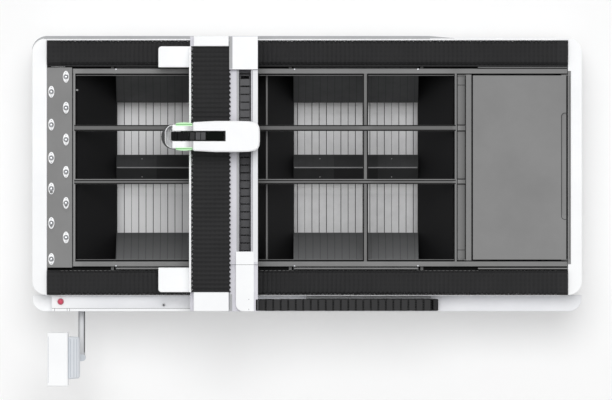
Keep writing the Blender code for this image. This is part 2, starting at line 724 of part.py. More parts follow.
def build_bed_frame(shop):
    """Welded frame: two tube girders, cross walls, floors, seats and levelling feet."""
    x0 = -LEFT_CAP_INNER + GAP
    x1 = RIGHT_CAP_INNER - GAP
    reach = GIRDER_INNER + LAP
    base = boxes((x0, x1, GIRDER_INNER, GIRDER_OUTER, BODY_BOTTOM, GIRDER_TOP))
    item = shop.piece("bed_frame", base, "grey_paint")
    floor = DRAWER_LOW - SLIDE_GAP
    adds = [
        (x0, x1, -GIRDER_OUTER, -GIRDER_INNER, BODY_BOTTOM, GIRDER_TOP),
        (x0, x1, -reach, reach, BODY_BOTTOM, floor),
        (x0, x0 + END_WALL_THICK, -reach, reach, BODY_BOTTOM, GIRDER_TOP),
        (x0, LEFT_WALL_X, -reach, reach, GIRDER_TOP - TABLE_SEAT_DEPTH, GIRDER_TOP),
        (LEFT_WALL_X - WALL_THICK, LEFT_WALL_X, -reach, reach, BODY_BOTTOM, WALL_TOP),
        (MIDDLE_WALL_X - WALL_THICK / 2, MIDDLE_WALL_X + WALL_THICK / 2, -reach, reach, BODY_BOTTOM, MIDDLE_WALL_TOP),
        (LIP_X0, RIGHT_WALL_X, -TABLE_SEAT_HALF, TABLE_SEAT_HALF, LIP_TOP - LIP_DEPTH, LIP_TOP),
        (RIGHT_WALL_X - RIGHT_WALL_THICK / 2, RIGHT_WALL_X + RIGHT_WALL_THICK / 2, -TABLE_SEAT_HALF,
         TABLE_SEAT_HALF, BODY_BOTTOM, HATCH_SEAT_TOP),
        (RIGHT_WALL_X - RIGHT_WALL_THICK / 2, RIGHT_WALL_X + RIGHT_WALL_THICK / 2, -reach, reach, BODY_BOTTOM, WALL_TOP),
        (x1 - END_WALL_THICK, x1, -reach, reach, BODY_BOTTOM, GIRDER_TOP),
        (HATCH_X1 - GRIP_DEPTH, x1, -TABLE_SEAT_HALF, TABLE_SEAT_HALF, GIRDER_TOP - TABLE_SEAT_DEPTH, HATCH_SEAT_TOP),
    ]
    for bay in HOPPER_X:
        left, right = drawer_span(bay)
        adds.append((left, right, -DRAWER_STOP, DRAWER_STOP, BODY_BOTTOM, DRAWER_STOP_TOP))
    mesh = boxes(*adds)
    for x in FOOT_XS:
        for side in (1, -1):
            add_cylinder(mesh, x, side * FOOT_INSET_Y, 0, FOOT_HEIGHT, FOOT_RADIUS, sides=8)
            add_cylinder(mesh, x, side * FOOT_INSET_Y, FOOT_HEIGHT / 2, BODY_BOTTOM + LAP, FOOT_STEM_RADIUS, sides=6)
    shop.cutter(item, mesh, "UNION")
    cuts = []
    for side in (1, -1):
        y0, y1 = mirrored(side, GIRDER_INNER + GIRDER_WALL, GIRDER_OUTER - GIRDER_WALL)
        cuts.append((x0 - CUT_OVER, x1 + CUT_OVER, y0, y1, GIRDER_TUNNEL_LOW, GIRDER_TOP - GIRDER_WALL))
        cuts += window_spans(*mirrored(side, GIRDER_INNER - CUT_OVER, GIRDER_OUTER + CUT_OVER))
    inset = TABLE_SEAT_DEPTH
    cuts.append((x0 + inset, LEFT_WALL_X - inset, -GIRDER_INNER + inset, GIRDER_INNER - inset,
                 GIRDER_TOP - TABLE_SEAT_DEPTH - CUT_OVER, GIRDER_TOP + CUT_OVER))
    shop.cutter(item, boxes(*cuts), "DIFFERENCE")
    return item


def hopper_surface(bay):
    """Open funnel surface of a hopper, with the ridge between its two outlets."""
    top0, low0, low1, top1 = HOPPER_X[bay]
    end0, end1 = HOPPER_END_TOP[bay]
    z = HOPPER_BOTTOM
    mesh = bmesh.new()

    def vert(x, y, height):
        return mesh.verts.new((x, y, height))

    side_z = HOPPER_FLANGE_Z
    rows = {}
    for key, low, top, end in (("a", low0, top0, end0), ("b", low1, top1, end1)):
        foot = [vert(low, y, z) for y in (-HOPPER_HALF_TOP, -HOPPER_HALF_BOTTOM, -RIDGE_HALF)]
        foot += [vert(low, y, z) for y in (RIDGE_HALF, HOPPER_HALF_BOTTOM, HOPPER_HALF_TOP)]
        rows[key] = {
            "foot": foot,
            "head": (vert(top, -HOPPER_HALF_TOP, end), vert(top, HOPPER_HALF_TOP, end)),
            "rim": (vert(low, -HOPPER_HALF_TOP, side_z), vert(low, HOPPER_HALF_TOP, side_z)),
            "lip": (vert(low, -HOPPER_FLANGE, side_z), vert(low, HOPPER_FLANGE, side_z)),
            "ridge": vert(low, 0, RIDGE_TOP),
        }
        row = rows[key]
        mesh.faces.new((row["head"][0], *foot, row["head"][1]))
        mesh.faces.new((foot[0], foot[1], row["rim"][0]))
        mesh.faces.new((foot[5], foot[4], row["rim"][1]))
        mesh.faces.new((foot[2], foot[3], row["ridge"]))
        mesh.faces.new((foot[0], row["head"][0], row["rim"][0]))
        mesh.faces.new((foot[5], row["head"][1], row["rim"][1]))
    a, b = rows["a"], rows["b"]
    for i, foot in ((0, 1), (1, 4)):
        mesh.faces.new((a["foot"][foot], b["foot"][foot], b["rim"][i], a["rim"][i]))
        mesh.faces.new((a["rim"][i], b["rim"][i], b["lip"][i], a["lip"][i]))
    mesh.faces.new((a["foot"][2], b["foot"][2], b["ridge"], a["ridge"]))
    mesh.faces.new((a["foot"][3], b["foot"][3], b["ridge"], a["ridge"]))
    return mesh


def build_hopper(shop, bay):
    """Welded sheet hopper that hangs by its flanges on the girders."""
    item = shop.piece(f"hopper_{bay}", hopper_surface(bay), "hopper_steel")
    if item.data.polygons[0].normal.z < 0:
        item.data.flip_normals()
    wall = item.modifiers.new("Solidify", "SOLIDIFY")
    wall.thickness = SHEET
    wall.offset = -1
    wall.solidify_mode = "NON_MANIFOLD"
    wall.nonmanifold_thickness_mode = "CONSTRAINTS"
    return item


def build_support_frame(shop):
    """Tube frame that carries the sheet, with pads on the girders and posts on the cross wall."""
    spans = []
    for side in (1, -1):
        y0, y1 = mirrored(side, RAIL_Y - RAIL_WIDTH / 2, RAIL_Y + RAIL_WIDTH / 2)
        spans.append((FRAME_LEFT, FRAME_RIGHT, y0, y1, FRAME_LOW, FRAME_TOP))
        pad = mirrored(side, RAIL_Y, PAD_REACH)
        for x in PAD_XS:
            spans.append((x - PAD_WIDTH / 2, x + PAD_WIDTH / 2, *pad, GIRDER_TOP + GAP, FRAME_LOW + PAD_THICK))
    for y, width in zip(MEMBER_YS, MEMBER_WIDTHS):
        spans.append((CROSS_XS[0], CROSS_XS[3], y - width / 2, y + width / 2, FRAME_LOW, FRAME_TOP))
        spans.append((MIDDLE_WALL_X - POST_WIDTH / 2, MIDDLE_WALL_X + POST_WIDTH / 2, y - POST_WIDTH / 2,
                      y + POST_WIDTH / 2, MIDDLE_WALL_TOP + GAP, FRAME_LOW + PAD_THICK))
    for x, width in zip(CROSS_XS, CROSS_WIDTHS):
        spans.append((x - width / 2, x + width / 2, -RAIL_Y, RAIL_Y, FRAME_LOW, FRAME_TOP))
    for y in TAB_YS:
        x = CROSS_XS[0]
        spans.append((x, x + TAB_XS_LENGTH, y - TAB_WIDTH / 2, y + TAB_WIDTH / 2, FRAME_LOW, FRAME_TOP - PAD_THICK))
    item = shop.piece("support_frame", boxes(spans[0]), "frame_grey")
    shop.cutter(item, boxes(*spans[1:]), "UNION")
    return item


def ball_units(mesh, x, first_y, step):
    """Add a column of ball transfer units: oval flange with a dome."""
    for i in range(BALL_COUNT):
        y = first_y - i * step
        flange = add_cylinder(
            mesh, x, y, TABLE_TOP - BALL_FLANGE_THICK, TABLE_TOP + BALL_FLANGE_THICK,
            BALL_FLANGE_HALF_Y, sides=BALL_SIDES,
        )
        verts = list(flange.verts)[-2 * BALL_SIDES:]
        squeeze = BALL_FLANGE_HALF_X / BALL_FLANGE_HALF_Y
        for vert in verts:
            vert.co.x = x + (vert.co.x - x) * squeeze
        dome_low = TABLE_TOP + BALL_FLANGE_THICK / 2
        add_cylinder(mesh, x, y, dome_low, TABLE_TOP + BALL_RADIUS, BALL_RADIUS, BALL_RADIUS / 2, sides=6)


def build_ball_table(shop):
    """Folded table plate with two columns of ball transfer units."""
    top = boxes((TABLE_LEFT, TABLE_RIGHT, -TABLE_HALF_Y, TABLE_HALF_Y, GIRDER_TOP + GAP, TABLE_TOP))
    item = shop.piece("ball_table", top, "grey_paint")
    inner = boxes((
        TABLE_LEFT + SHEET, TABLE_RIGHT - SHEET, -TABLE_HALF_Y + SHEET, TABLE_HALF_Y - SHEET,
        GIRDER_TOP - CUT_OVER, TABLE_TOP - 2 * SHEET,
    ))
    shop.cutter(item, inner, "DIFFERENCE")
    balls = bmesh.new()
    ball_units(balls, BALL_RIGHT_X, BALL_RIGHT_Y0, BALL_RIGHT_STEP)
    ball_units(balls, BALL_LEFT_X, BALL_LEFT_Y0, BALL_LEFT_STEP)
    shop.cutter(item, balls, "UNION")
    return item


def build_cap(shop, name, side, inner):
    """End cap of the body: rounded in plan, hollow and open towards the frame."""
    if side < 0:
        outline = round_box_outline(-HALF_LENGTH, -inner, -DECK_FRONT, DECK_BACK, (CORNER_RADIUS, 0, 0, CORNER_RADIUS))
    else:
        outline = round_box_outline(inner, HALF_LENGTH, -DECK_FRONT, DECK_BACK, (0, CORNER_RADIUS, CORNER_RADIUS, 0))
    item = shop.piece(name, prism(outline, BODY_BOTTOM, DECK_TOP), "white_paint")
    soften(item)
    near = side * inner
    far = side * (HALF_LENGTH - PLATE)
    low, high = sorted((near - side * CUT_OVER, far))
    slack = CORNER_RADIUS / 2
    cut = boxes((low, high, -DECK_FRONT + slack, DECK_BACK - slack, BODY_BOTTOM + PLATE, DECK_TOP - PLATE))
    shop.cutter(item, cut, "DIFFERENCE")
    return item


def build_rear_panel(shop):
    """Rear sheet wall with two drawer windows and a stepped upper edge."""
    x0 = -LEFT_CAP_INNER + GAP
    x1 = RIGHT_CAP_INNER - GAP
    low = boxes((x0, x1, GIRDER_OUTER + GAP, DECK_BACK, BODY_BOTTOM, GIRDER_TOP))
    item = shop.piece("rear_panel", low, "white_paint")
    high = boxes((x0, x1, REAR_UPPER_INNER, DECK_BACK, GIRDER_TOP - LAP, DECK_TOP))
    shop.cutter(item, high, "UNION")
    shop.cutter(item, boxes(*window_spans(GIRDER_OUTER - CUT_OVER, DECK_BACK + CUT_OVER)), "DIFFERENCE")
    return item


def build_rear_trim(shop):
    """Grey strip that follows the rear left corner and tapers off to the right."""
    centre_x = -HALF_LENGTH + CORNER_RADIUS
    centre_y = DECK_BACK - CORNER_RADIUS
    depth = TRIM_BACK - DECK_BACK
    steps = CORNER_STEPS - 1
    inner = arc(centre_x, centre_y, CORNER_RADIUS + GAP, 90, 90 * steps / CORNER_STEPS, steps)
    outer = []
    for i, (x, y) in enumerate(inner):
        direction = Vector((x - centre_x, y - centre_y)).normalized()
        reach = CORNER_RADIUS + depth + (TRIM_TIP_THICK - depth) * i / steps
        outer.append((max(centre_x + direction.x * reach, -HALF_LENGTH), centre_y + direction.y * reach))
    tip = [(TRIM_TIP, DECK_BACK + GAP), (TRIM_TIP, DECK_BACK + TRIM_TIP_THICK), (TRIM_END, TRIM_BACK)]
    return shop.piece("rear_trim", prism(inner[::-1] + tip + outer, TRIM_LOW, TRIM_HIGH), "trim_grey")


def build_front_panel(shop):
    """Front sheet wall under the shelf, with two drawer windows."""
    x0 = -LEFT_CAP_INNER + GAP
    x1 = RIGHT_CAP_INNER - GAP
    base = boxes((x0, x1, -GIRDER_OUTER - GAP - PANEL_THICK + GAP, -GIRDER_OUTER - GAP, BODY_BOTTOM, GIRDER_TOP))
    item = shop.piece("front_panel", base, "white_paint")
    shop.cutter(item, boxes(*window_spans(-DECK_FRONT - CUT_OVER, -GIRDER_OUTER + CUT_OVER)), "DIFFERENCE")
    return item


def build_front_shelf(shop):
    """Folded shelf along the front, rounded at its ends, with an upstand."""
    outline = round_box_outline(
        -HALF_LENGTH, HALF_LENGTH, -SHELF_FRONT, -SHELF_BACK, (SHELF_CORNER, SHELF_CORNER, 0, 0)
    )
    item = shop.piece("front_shelf", prism(outline, SHELF_TOP - SHELF_DROP, SHELF_TOP), "white_paint")
    soften(item, SHEET)
    edge = 2 * SHEET
    x1 = HALF_LENGTH - SHELF_CORNER / 2
    under = boxes((-x1, x1, -SHELF_FRONT + edge, -SHELF_BACK - edge, SHELF_TOP - SHELF_DROP - CUT_OVER, SHELF_TOP - edge))
    shop.cutter(item, under, "DIFFERENCE")
    wall = boxes((
        -LEFT_CAP_INNER, RIGHT_CAP_INNER, -SHELF_BACK - UPSTAND_THICK, -SHELF_BACK, SHELF_TOP - edge / 2, UPSTAND_TOP
    ))
    shop.cutter(item, wall, "UNION")
    return item


def build_control_box(shop):
    """Long sheet box on the shelf, with an emergency stop collar and a key switch seat."""
    base = boxes((BOX_X0, BOX_X1, BOX_Y0, BOX_Y1, SHELF_TOP + GAP, BOX_TOP))
    item = soften(shop.piece("control_box", base, "white_paint"), SHEET)
    shop.cutter(item, boxes((
        BOX_X0 + SHEET, BOX_X1 - SHEET, BOX_Y0 + SHEET, BOX_Y1 - SHEET, SHELF_TOP - CUT_OVER, BOX_TOP - SHEET
    )), "DIFFERENCE")
    seats = add_cylinder(bmesh.new(), STOP_X, STOP_Y, BOX_TOP - SHEET / 2, BOX_TOP + STOP_COLLAR_HIGH, STOP_COLLAR)
    add_cylinder(seats, KEY_X, KEY_Y, BOX_TOP - SHEET / 2, BOX_TOP + KEY_HIGH / 2, KEY_RADIUS)
    shop.cutter(item, seats, "UNION")
    holes = add_cylinder(bmesh.new(), STOP_X, STOP_Y, BOX_TOP - CUT_OVER, BOX_TOP + CUT_OVER, STOP_STEM + SLIDE_GAP)
    add_cylinder(holes, KEY_X, KEY_Y, BOX_TOP - CUT_OVER, BOX_TOP + CUT_OVER, KEY_STEM + SLIDE_GAP)
    shop.cutter(item, holes, "DIFFERENCE")
    return item


def build_emergency_stop(shop):
    """Mushroom button: stem through the collar and a domed head."""
    base = BOX_TOP + STOP_COLLAR_HIGH + STOP_TRAVEL + SLIDE_GAP
    at = Vector((STOP_X, STOP_Y, base))
    head = add_cylinder(bmesh.new(), STOP_X, STOP_Y, base, base + STOP_HEAD_HIGH, STOP_HEAD, STOP_HEAD * 0.8, sides=20)
    item = shop.piece("emergency_stop", head, "red_plastic", at, smooth=False)
    stem = add_cylinder(bmesh.new(), STOP_X, STOP_Y, BOX_TOP - STOP_HOLE_DEPTH / 2, base + LAP, STOP_STEM)
    shop.cutter(item, stem, "UNION")
    return item


def build_key(shop):
    """Key switch: turning barrel with the key's bow."""
    top = BOX_TOP + KEY_HIGH
    at = Vector((KEY_X, KEY_Y, top))
    barrel = add_cylinder(bmesh.new(), KEY_X, KEY_Y, BOX_TOP - STOP_HOLE_DEPTH / 2, top, KEY_STEM)
    item = shop.piece("key_switch", barrel, "head_grey", at)
    bow = boxes((
        KEY_X - KEY_BOW / 2, KEY_X + KEY_BOW / 2, KEY_Y - KEY_BOW_THICK / 2, KEY_Y + KEY_BOW_THICK / 2,
        top - LAP / 2, top + KEY_BOW_HIGH,
    ))
    shop.cutter(item, bow, "UNION")
    return item


def build_x_rail(shop, name, side):
    """Guide rail and rack of one girder on a common base strip."""
    x0 = -LEFT_CAP_INNER + LONG_FLAT
    x1 = RIGHT_CAP_INNER - LONG_FLAT
    low = GIRDER_TOP + GAP
    rail = mirrored(side, X_RAIL_Y - X_RAIL_HALF, X_RAIL_Y + X_RAIL_HALF)
    rack = mirrored(side, RACK_Y - RACK_HALF, RACK_Y + RACK_HALF)
    item = shop.piece(name, boxes((x0, x1, *rail, low, GIRDER_TOP + X_RAIL_HIGH)), "ground_steel")
    strip = mirrored(side, X_RAIL_Y, RACK_Y)
    shop.cutter(item, boxes(
        (x0, x1, *rack, low, GIRDER_TOP + RACK_HIGH),
        (x0, x1, *strip, low, GIRDER_TOP + LAP),
    ), "UNION")
    return item


def build_hatch(shop, parent):
    """Hinged lid at the right end with a grip recess along its free edge."""
    at = shop.origins[parent.name]
    low = HATCH_SEAT_TOP + GAP
    base = boxes((HATCH_X0, HATCH_X1, -HATCH_HALF_Y, HATCH_HALF_Y, low, HATCH_TOP))
    item = shop.piece("hatch", base, "frame_grey", at, parent)
    outline = round_box_outline(
        HATCH_X1 - GRIP_DEPTH, HATCH_X1 + CUT_OVER, GRIP_Y0, GRIP_Y1, (GRIP_DEPTH / 2, 0, 0, GRIP_DEPTH / 2), 5
    )
    shop.cutter(item, prism(outline, low + GRIP_FLOOR, HATCH_TOP + CUT_OVER), "DIFFERENCE")
    return item


def build_drawer(shop, bay, name, side):
    """Slag drawer: open tray with a grooved floor and a front plate with a grip slot."""
    x0, x1 = drawer_span(bay)
    front = DECK_FRONT if side < 0 else DECK_BACK
    plate_in = front + GAP
    at = Vector(((x0 + x1) / 2, side * front, DRAWER_LOW))
    parent = shop.empty(f"{name}_slide", at, shop.datum)
    tray_y = mirrored(side, DRAWER_INNER_Y, plate_in + LAP)
    item = shop.piece(name, boxes((x0, x1, *tray_y, DRAWER_LOW, DRAWER_HIGH)), "drawer_steel", at, parent)
    over = DRAWER_FRONT_OVER
    plate_y = mirrored(side, plate_in, plate_in + DRAWER_FRONT_THICK)
    middle = (x0 + x1) / 2
    shop.cutter(item, boxes((x0 - over, x1 + over, *plate_y, DRAWER_LOW, DRAWER_HIGH + over)), "UNION")
    inner_y = mirrored(side, DRAWER_INNER_Y + SHEET, plate_in)
    cuts = [(x0 + SHEET, x1 - SHEET, *inner_y, DRAWER_LOW + DRAWER_FLOOR, DRAWER_HIGH + CUT_OVER)]
    grip_top = DRAWER_HIGH - GRIP_SLOT_MARGIN
    grip_y = mirrored(side, plate_in - CUT_OVER, plate_in + CUT_OVER)
    half = GRIP_SLOT_LENGTH / 2
    cuts.append((middle - half, middle + half, *grip_y, grip_top - GRIP_SLOT_HIGH, grip_top))
    count = int((x1 - x0 - 2 * SHEET) / PLANK_PITCH)
    first = middle - PLANK_PITCH * (count - 1) / 2
    for i in range(count):
        x = first + PLANK_PITCH * i
        low = DRAWER_LOW + DRAWER_FLOOR - PLANK_DEPTH
        cuts.append((x - PLANK_GROOVE / 2, x + PLANK_GROOVE / 2, *inner_y, low, DRAWER_HIGH))
    shop.cutter(item, boxes(*cuts), "DIFFERENCE")
    return item


def fold_stations(start, end, pitch, depth, flats):
    """Places along a bellows with the inset at each: straight end pieces and folds between."""
    first = start + flats[0]
    last = end - flats[1]
    count = max(1, round((last - first) / pitch))
    step = (last - first) / count
    stations = [(start, 0.0)] if flats[0] else []
    for i in range(count):
        stations.append((first + step * i, 0.0))
        stations.append((first + step * (i + 0.5), depth))
    stations.append((last, 0.0))
    if flats[1]:
        stations.append((end, 0.0))
    return stations


def bellows_mesh(stations, low_side, high_side, low, high, wall, along_x):
    """Closed body of a bellows: a pleated channel, open below, with straight inner walls."""
    mesh = bmesh.new()

    def vert(along, across, height):
        return mesh.verts.new((along, across, height) if along_x else (across, along, height))

    rings = []
    for along, inset in stations:
        left = low_side + inset
        right = high_side - inset
        top = high - inset
        rings.append([
            vert(along, left, low), vert(along, left, top), vert(along, right, top), vert(along, right, low)
        ])
    for one, two in zip(rings, rings[1:]):
        for i in range(3):
            mesh.faces.new((one[i], one[i + 1], two[i + 1], two[i]))
    inner = []
    for along, _ in (stations[0], stations[-1]):
        left = low_side + wall
        right = high_side - wall
        inner.append([
            vert(along, left, low), vert(along, left, high - wall), vert(along, right, high - wall), vert(along, right, low)
        ])
    for i in range(3):
        mesh.faces.new((inner[0][i], inner[0][i + 1], inner[1][i + 1], inner[1][i]))
    for ring, inside in ((rings[0], inner[0]), (rings[-1], inner[1])):
        mesh.faces.new((ring[0], ring[1], inside[1], inside[0]))
        mesh.faces.new((ring[1], ring[2], inside[2], inside[1]))
        mesh.faces.new((ring[2], ring[3], inside[3], inside[2]))
    mesh.faces.new([ring[0] for ring in rings] + [inner[1][0], inner[0][0]])
    mesh.faces.new([ring[3] for ring in rings] + [inner[1][3], inner[0][3]])
    return mesh


def build_long_bellows(shop, name, side, start, end, flats):
    """Pleated cover over a stretch of one long rail."""
    y0, y1 = mirrored(side, LONG_INNER_Y, LONG_OUTER_Y)
    stations = fold_stations(start, end, LONG_FOLD, LONG_FOLD_DEPTH, flats)
    mesh = bellows_mesh(stations, y0, y1, LONG_LOW, LONG_HIGH, LONG_WALL, True)
    return shop.piece(name, mesh, "folded_cloth")


def build_beam_bellows(shop, name, start, end, parent):
    """Pleated cover over a stretch of the beam's top."""
    stations = fold_stations(start, end, BEAM_FOLD, BEAM_FOLD_DEPTH, (0, 0))
    mesh = bellows_mesh(stations, FOLD_X0, FOLD_X1, FOLD_LOW, FOLD_HIGH, FOLD_WALL, False)
    return shop.piece(name, mesh, "folded_cloth", shop.origins[parent.name], parent)


def build_gantry_beam(shop, parent):
    """Hollow beam with the cross rails, the rack and a side lip."""
    at = shop.origins[parent.name]
    base = boxes((BEAM_X0, BEAM_X1, BEAM_Y0, BEAM_Y1, BEAM_LOW, BEAM_HIGH))
    item = shop.piece("gantry_beam", base, "white_paint", at, parent)
    top = BEAM_HIGH + Y_RAIL_HIGH
    spans = [
        (x - Y_RAIL_HALF, x + Y_RAIL_HALF, BEAM_Y0, BEAM_Y1, BEAM_HIGH - LAP, top) for x in Y_RAIL_XS
    ]
    spans.append((Y_RACK_X - Y_RACK_HALF, Y_RACK_X + Y_RACK_HALF, BEAM_Y0, BEAM_Y1, BEAM_HIGH - LAP, top - LAP))
    spans.append((LIP_LEFT, FOLD_X0 - SMALL_RADIUS, BEAM_Y0, BEAM_Y1, BEAM_LOW, FOLD_HIGH - BEAM_FOLD_DEPTH))
    spans.append((LIP_LEFT, BEAM_X0 + LAP, BEAM_Y0, BEAM_Y1, BEAM_LOW, BEAM_HIGH - LAP))
    shop.cutter(item, boxes(*spans), "UNION")
    bore = boxes((
        BEAM_X0 + BEAM_WALL, BEAM_X1 - BEAM_WALL, BEAM_Y0 - CUT_OVER, BEAM_Y1 + CUT_OVER,
        BEAM_LOW + BEAM_WALL, BEAM_HIGH - BEAM_WALL,
    ))
    shop.cutter(item, bore, "DIFFERENCE")
    return item


def build_saddle(shop, name, side, parent):
    """Gantry foot: plate with guide blocks on the long rail and a riser box under the beam."""
    at = shop.origins[parent.name]
    y0, y1 = mirrored(side, SADDLE_Y0, SADDLE_Y1)
    low = SADDLE_LOW
    base = boxes((GANTRY_LEFT, GANTRY_RIGHT, y0, y1, low, low + SADDLE_PLATE))
    item = shop.piece(name, base, "white_paint", at, parent)
    spans = [(BEAM_X0, BEAM_X1, y0, y1, low + LAP, BEAM_LOW - GAP)]
    block_y = mirrored(side, X_RAIL_Y - X_RAIL_HALF * 2, X_RAIL_Y + X_RAIL_HALF * 1.6)
    block_low = GIRDER_TOP + X_RAIL_HIGH + SLIDE_GAP
    for x in BLOCK_XS:
        spans.append((x - BLOCK_HALF_X, x + BLOCK_HALF_X, *block_y, block_low, low + LAP))
    shop.cutter(item, boxes(*spans), "UNION")
    wall = SADDLE_WALL
    hollow = boxes((
        BEAM_X0 + wall, BEAM_X1 - wall, y0 - CUT_OVER, y1 + CUT_OVER, low + SADDLE_PLATE, BEAM_LOW - wall
    ))
    shop.cutter(item, hollow, "DIFFERENCE")
    hole = add_cylinder(bmesh.new(), MOTOR_X, side * MOTOR_Y, low - CUT_OVER, low + SADDLE_PLATE + CUT_OVER, SHAFT_HOLE)
    shop.cutter(item, hole, "DIFFERENCE")
    return item


def build_end_cover(shop, name, side, parent):
    """White sheet cap over the beam's end, open towards the beam."""
    end = GANTRY_BACK if side > 0 else -GANTRY_FRONT
    inner = (BEAM_Y1 if side > 0 else -BEAM_Y0) + GAP
    y0, y1 = mirrored(side, inner, end)
    low = BEAM_LOW - SADDLE_PLATE
    base = boxes((END_X0, END_X1, y0, y1, low, END_TOP))
    item = soften(shop.piece(name, base, "white_paint", shop.origins[parent.name], parent), SHEET)
    cut_y = mirrored(side, inner - CUT_OVER, end - END_WALL)
    tall = mirrored(side, inner + SADDLE_RELIEF, end - END_WALL)
    shop.cutter(item, boxes(
        (END_X0 + END_WALL, END_X1 - END_WALL, *cut_y, BEAM_HIGH + SMALL_RADIUS, END_TOP - END_WALL),
        (END_X0 + END_WALL, END_X1 - END_WALL, *tall, low - CUT_OVER, END_TOP - END_WALL),
        (END_X0 - CUT_OVER, END_X1 + CUT_OVER, *mirrored(side, inner - CUT_OVER, SADDLE_Y1 + SLIDE_GAP),
         low - CUT_OVER, BEAM_LOW + SMALL_RADIUS),
    ), "DIFFERENCE")
    return item


def build_saddle_cover(shop, name, side, parent):
    """White wing over the end of the long bellows, fixed to the beam's lip."""
    outer = COVER_Y1_REAR if side > 0 else COVER_Y1_FRONT
    y0, y1 = mirrored(side, COVER_Y0, outer)
    radii = (COVER_CORNER, 0, 0, 0) if side < 0 else (0, 0, 0, COVER_CORNER)
    shape = prism(round_box_outline(COVER_X0, LIP_LEFT - GAP, y0, y1, radii, 4), COVER_LOW, COVER_HIGH)
    item = soften(shop.piece(name, shape, "white_paint", shop.origins[parent.name], parent), SHEET)
    cut = boxes((
        COVER_X0 + END_WALL, LIP_LEFT - GAP - END_WALL, y0 + END_WALL, y1 - END_WALL, COVER_LOW - CUT_OVER, COVER_HIGH - END_WALL
    ))
    shop.cutter(item, cut, "DIFFERENCE")
    return item


def build_chain_trough(shop, parent):
    """White trough beside the beam: floor, ledge, side box and a raised rear box."""
    at = shop.origins[parent.name]
    floor = TROUGH_LOW + TROUGH_FLOOR
    base = boxes((TROUGH_X0, GANTRY_RIGHT, GANTRY_FRONT, GANTRY_BACK, TROUGH_LOW, floor))
    item = shop.piece("chain_trough", base, "white_paint", at, parent)
    shop.cutter(item, boxes(
        (TROUGH_X0, TROUGH_LEDGE_X, GANTRY_FRONT, GANTRY_BACK, TROUGH_LOW, TROUGH_LEDGE_TOP),
        (TROUGH_RIGHT_X, GANTRY_RIGHT, GANTRY_FRONT, GANTRY_BACK, TROUGH_LOW, TROUGH_TOP),
        (TROUGH_X0, GANTRY_RIGHT, TROUGH_BACK_Y, GANTRY_BACK, TROUGH_LOW, TROUGH_BACK_TOP),
        (X_CHAIN_END - GAP - X_HANGER_THICK, X_CHAIN_END - GAP, X_CHAIN_Y0, X_CHAIN_Y1,
         X_CHAIN_HIGH - X_CHAIN_THICK / 2, TROUGH_LOW + LAP),
    ), "UNION")
    wall = TROUGH_FLOOR
    shop.cutter(item, boxes(
        (TROUGH_LEDGE_X, TROUGH_RIGHT_X, TROUGH_BACK_Y - CUT_OVER, GANTRY_BACK - wall, floor, TROUGH_BACK_TOP - wall),
        (TROUGH_X0 + wall, TROUGH_LEDGE_X - wall, GANTRY_FRONT - CUT_OVER, GANTRY_BACK - wall, TROUGH_LOW - CUT_OVER,
         TROUGH_LEDGE_TOP - wall),
        (TROUGH_RIGHT_X + wall, GANTRY_RIGHT - wall, X_CHAIN_Y1 + wall, GANTRY_BACK - wall, TROUGH_LOW - CUT_OVER,
         TROUGH_TOP - wall),
    ), "DIFFERENCE")
    return item


def build_duct_cover(shop, parent):
    """White cover over the front end of the chain trough, rounded at one corner."""
    outline = round_box_outline(DUCT_X0, DUCT_X1, GANTRY_FRONT, TROUGH_FRONT_Y, (DUCT_CORNER, 0, 0, 0), 6)
    shape = prism(outline, TROUGH_TOP + GAP, DUCT_TOP)
    item = soften(shop.piece("chain_duct_cover", shape, "white_paint", shop.origins[parent.name], parent), SMALL_RADIUS)
    low, high = TROUGH_LEDGE_X, TROUGH_RIGHT_X
    cut = boxes((low, high, GANTRY_FRONT + DUCT_CORNER, TROUGH_FRONT_Y + CUT_OVER, TROUGH_TOP - CUT_OVER, DUCT_TOP - END_WALL))
    shop.cutter(item, cut, "DIFFERENCE")
    return item


def build_x_motor(shop, name, side, parent):
    """Servo motor with a square flange and a shaft through the saddle plate."""
    y = side * MOTOR_Y
    low = SADDLE_LOW + SADDLE_PLATE + GAP
    half = MOTOR_HALF
    flange = MOTOR_FLANGE
    base = boxes((MOTOR_X - half, MOTOR_X + half, y - half, y + half, low + PLATE / 2, low + MOTOR_HIGH))
    item = soften(shop.piece(name, base, "motor_black", shop.origins[parent.name], parent), EDGE_RADIUS)
    mesh = boxes((MOTOR_X - flange, MOTOR_X + flange, y - flange, y + flange, low, low + PLATE))
    shaft_low = GIRDER_TOP + PINION_DROP
    add_cylinder(mesh, MOTOR_X, y, shaft_low, low + PLATE / 2, MOTOR_SHAFT, sides=10)
    shop.cutter(item, mesh, "UNION")
    return item


def pinion_mesh(x, y, z0, z1, radius, bore):
    """Toothed wheel with a bore: one closed ring."""
    outline = []
    for i in range(PINION_TEETH):
        for share, out in ((0.0, 0), (0.35, 1), (0.7, 1)):
            angle = 2 * math.pi * (i + share) / PINION_TEETH
            reach = radius - PINION_TOOTH * (1 - out)
            outline.append((x + reach * math.cos(angle), y + reach * math.sin(angle)))
    count = len(outline)
    inner = arc(x, y, bore, 0, 360 * (count - 1) / count, count - 1)
    mesh = bmesh.new()
    rings = [[mesh.verts.new((px, py, z)) for px, py in line] for line in (outline, inner) for z in (z0, z1)]
    out_low, out_high, in_low, in_high = rings
    for i in range(count):
        j = (i + 1) % count
        mesh.faces.new((out_low[i], out_low[j], out_high[j], out_high[i]))
        mesh.faces.new((in_low[j], in_low[i], in_high[i], in_high[j]))
        mesh.faces.new((out_high[i], out_high[j], in_high[j], in_high[i]))
        mesh.faces.new((out_low[j], out_low[i], in_low[i], in_low[j]))
    return mesh


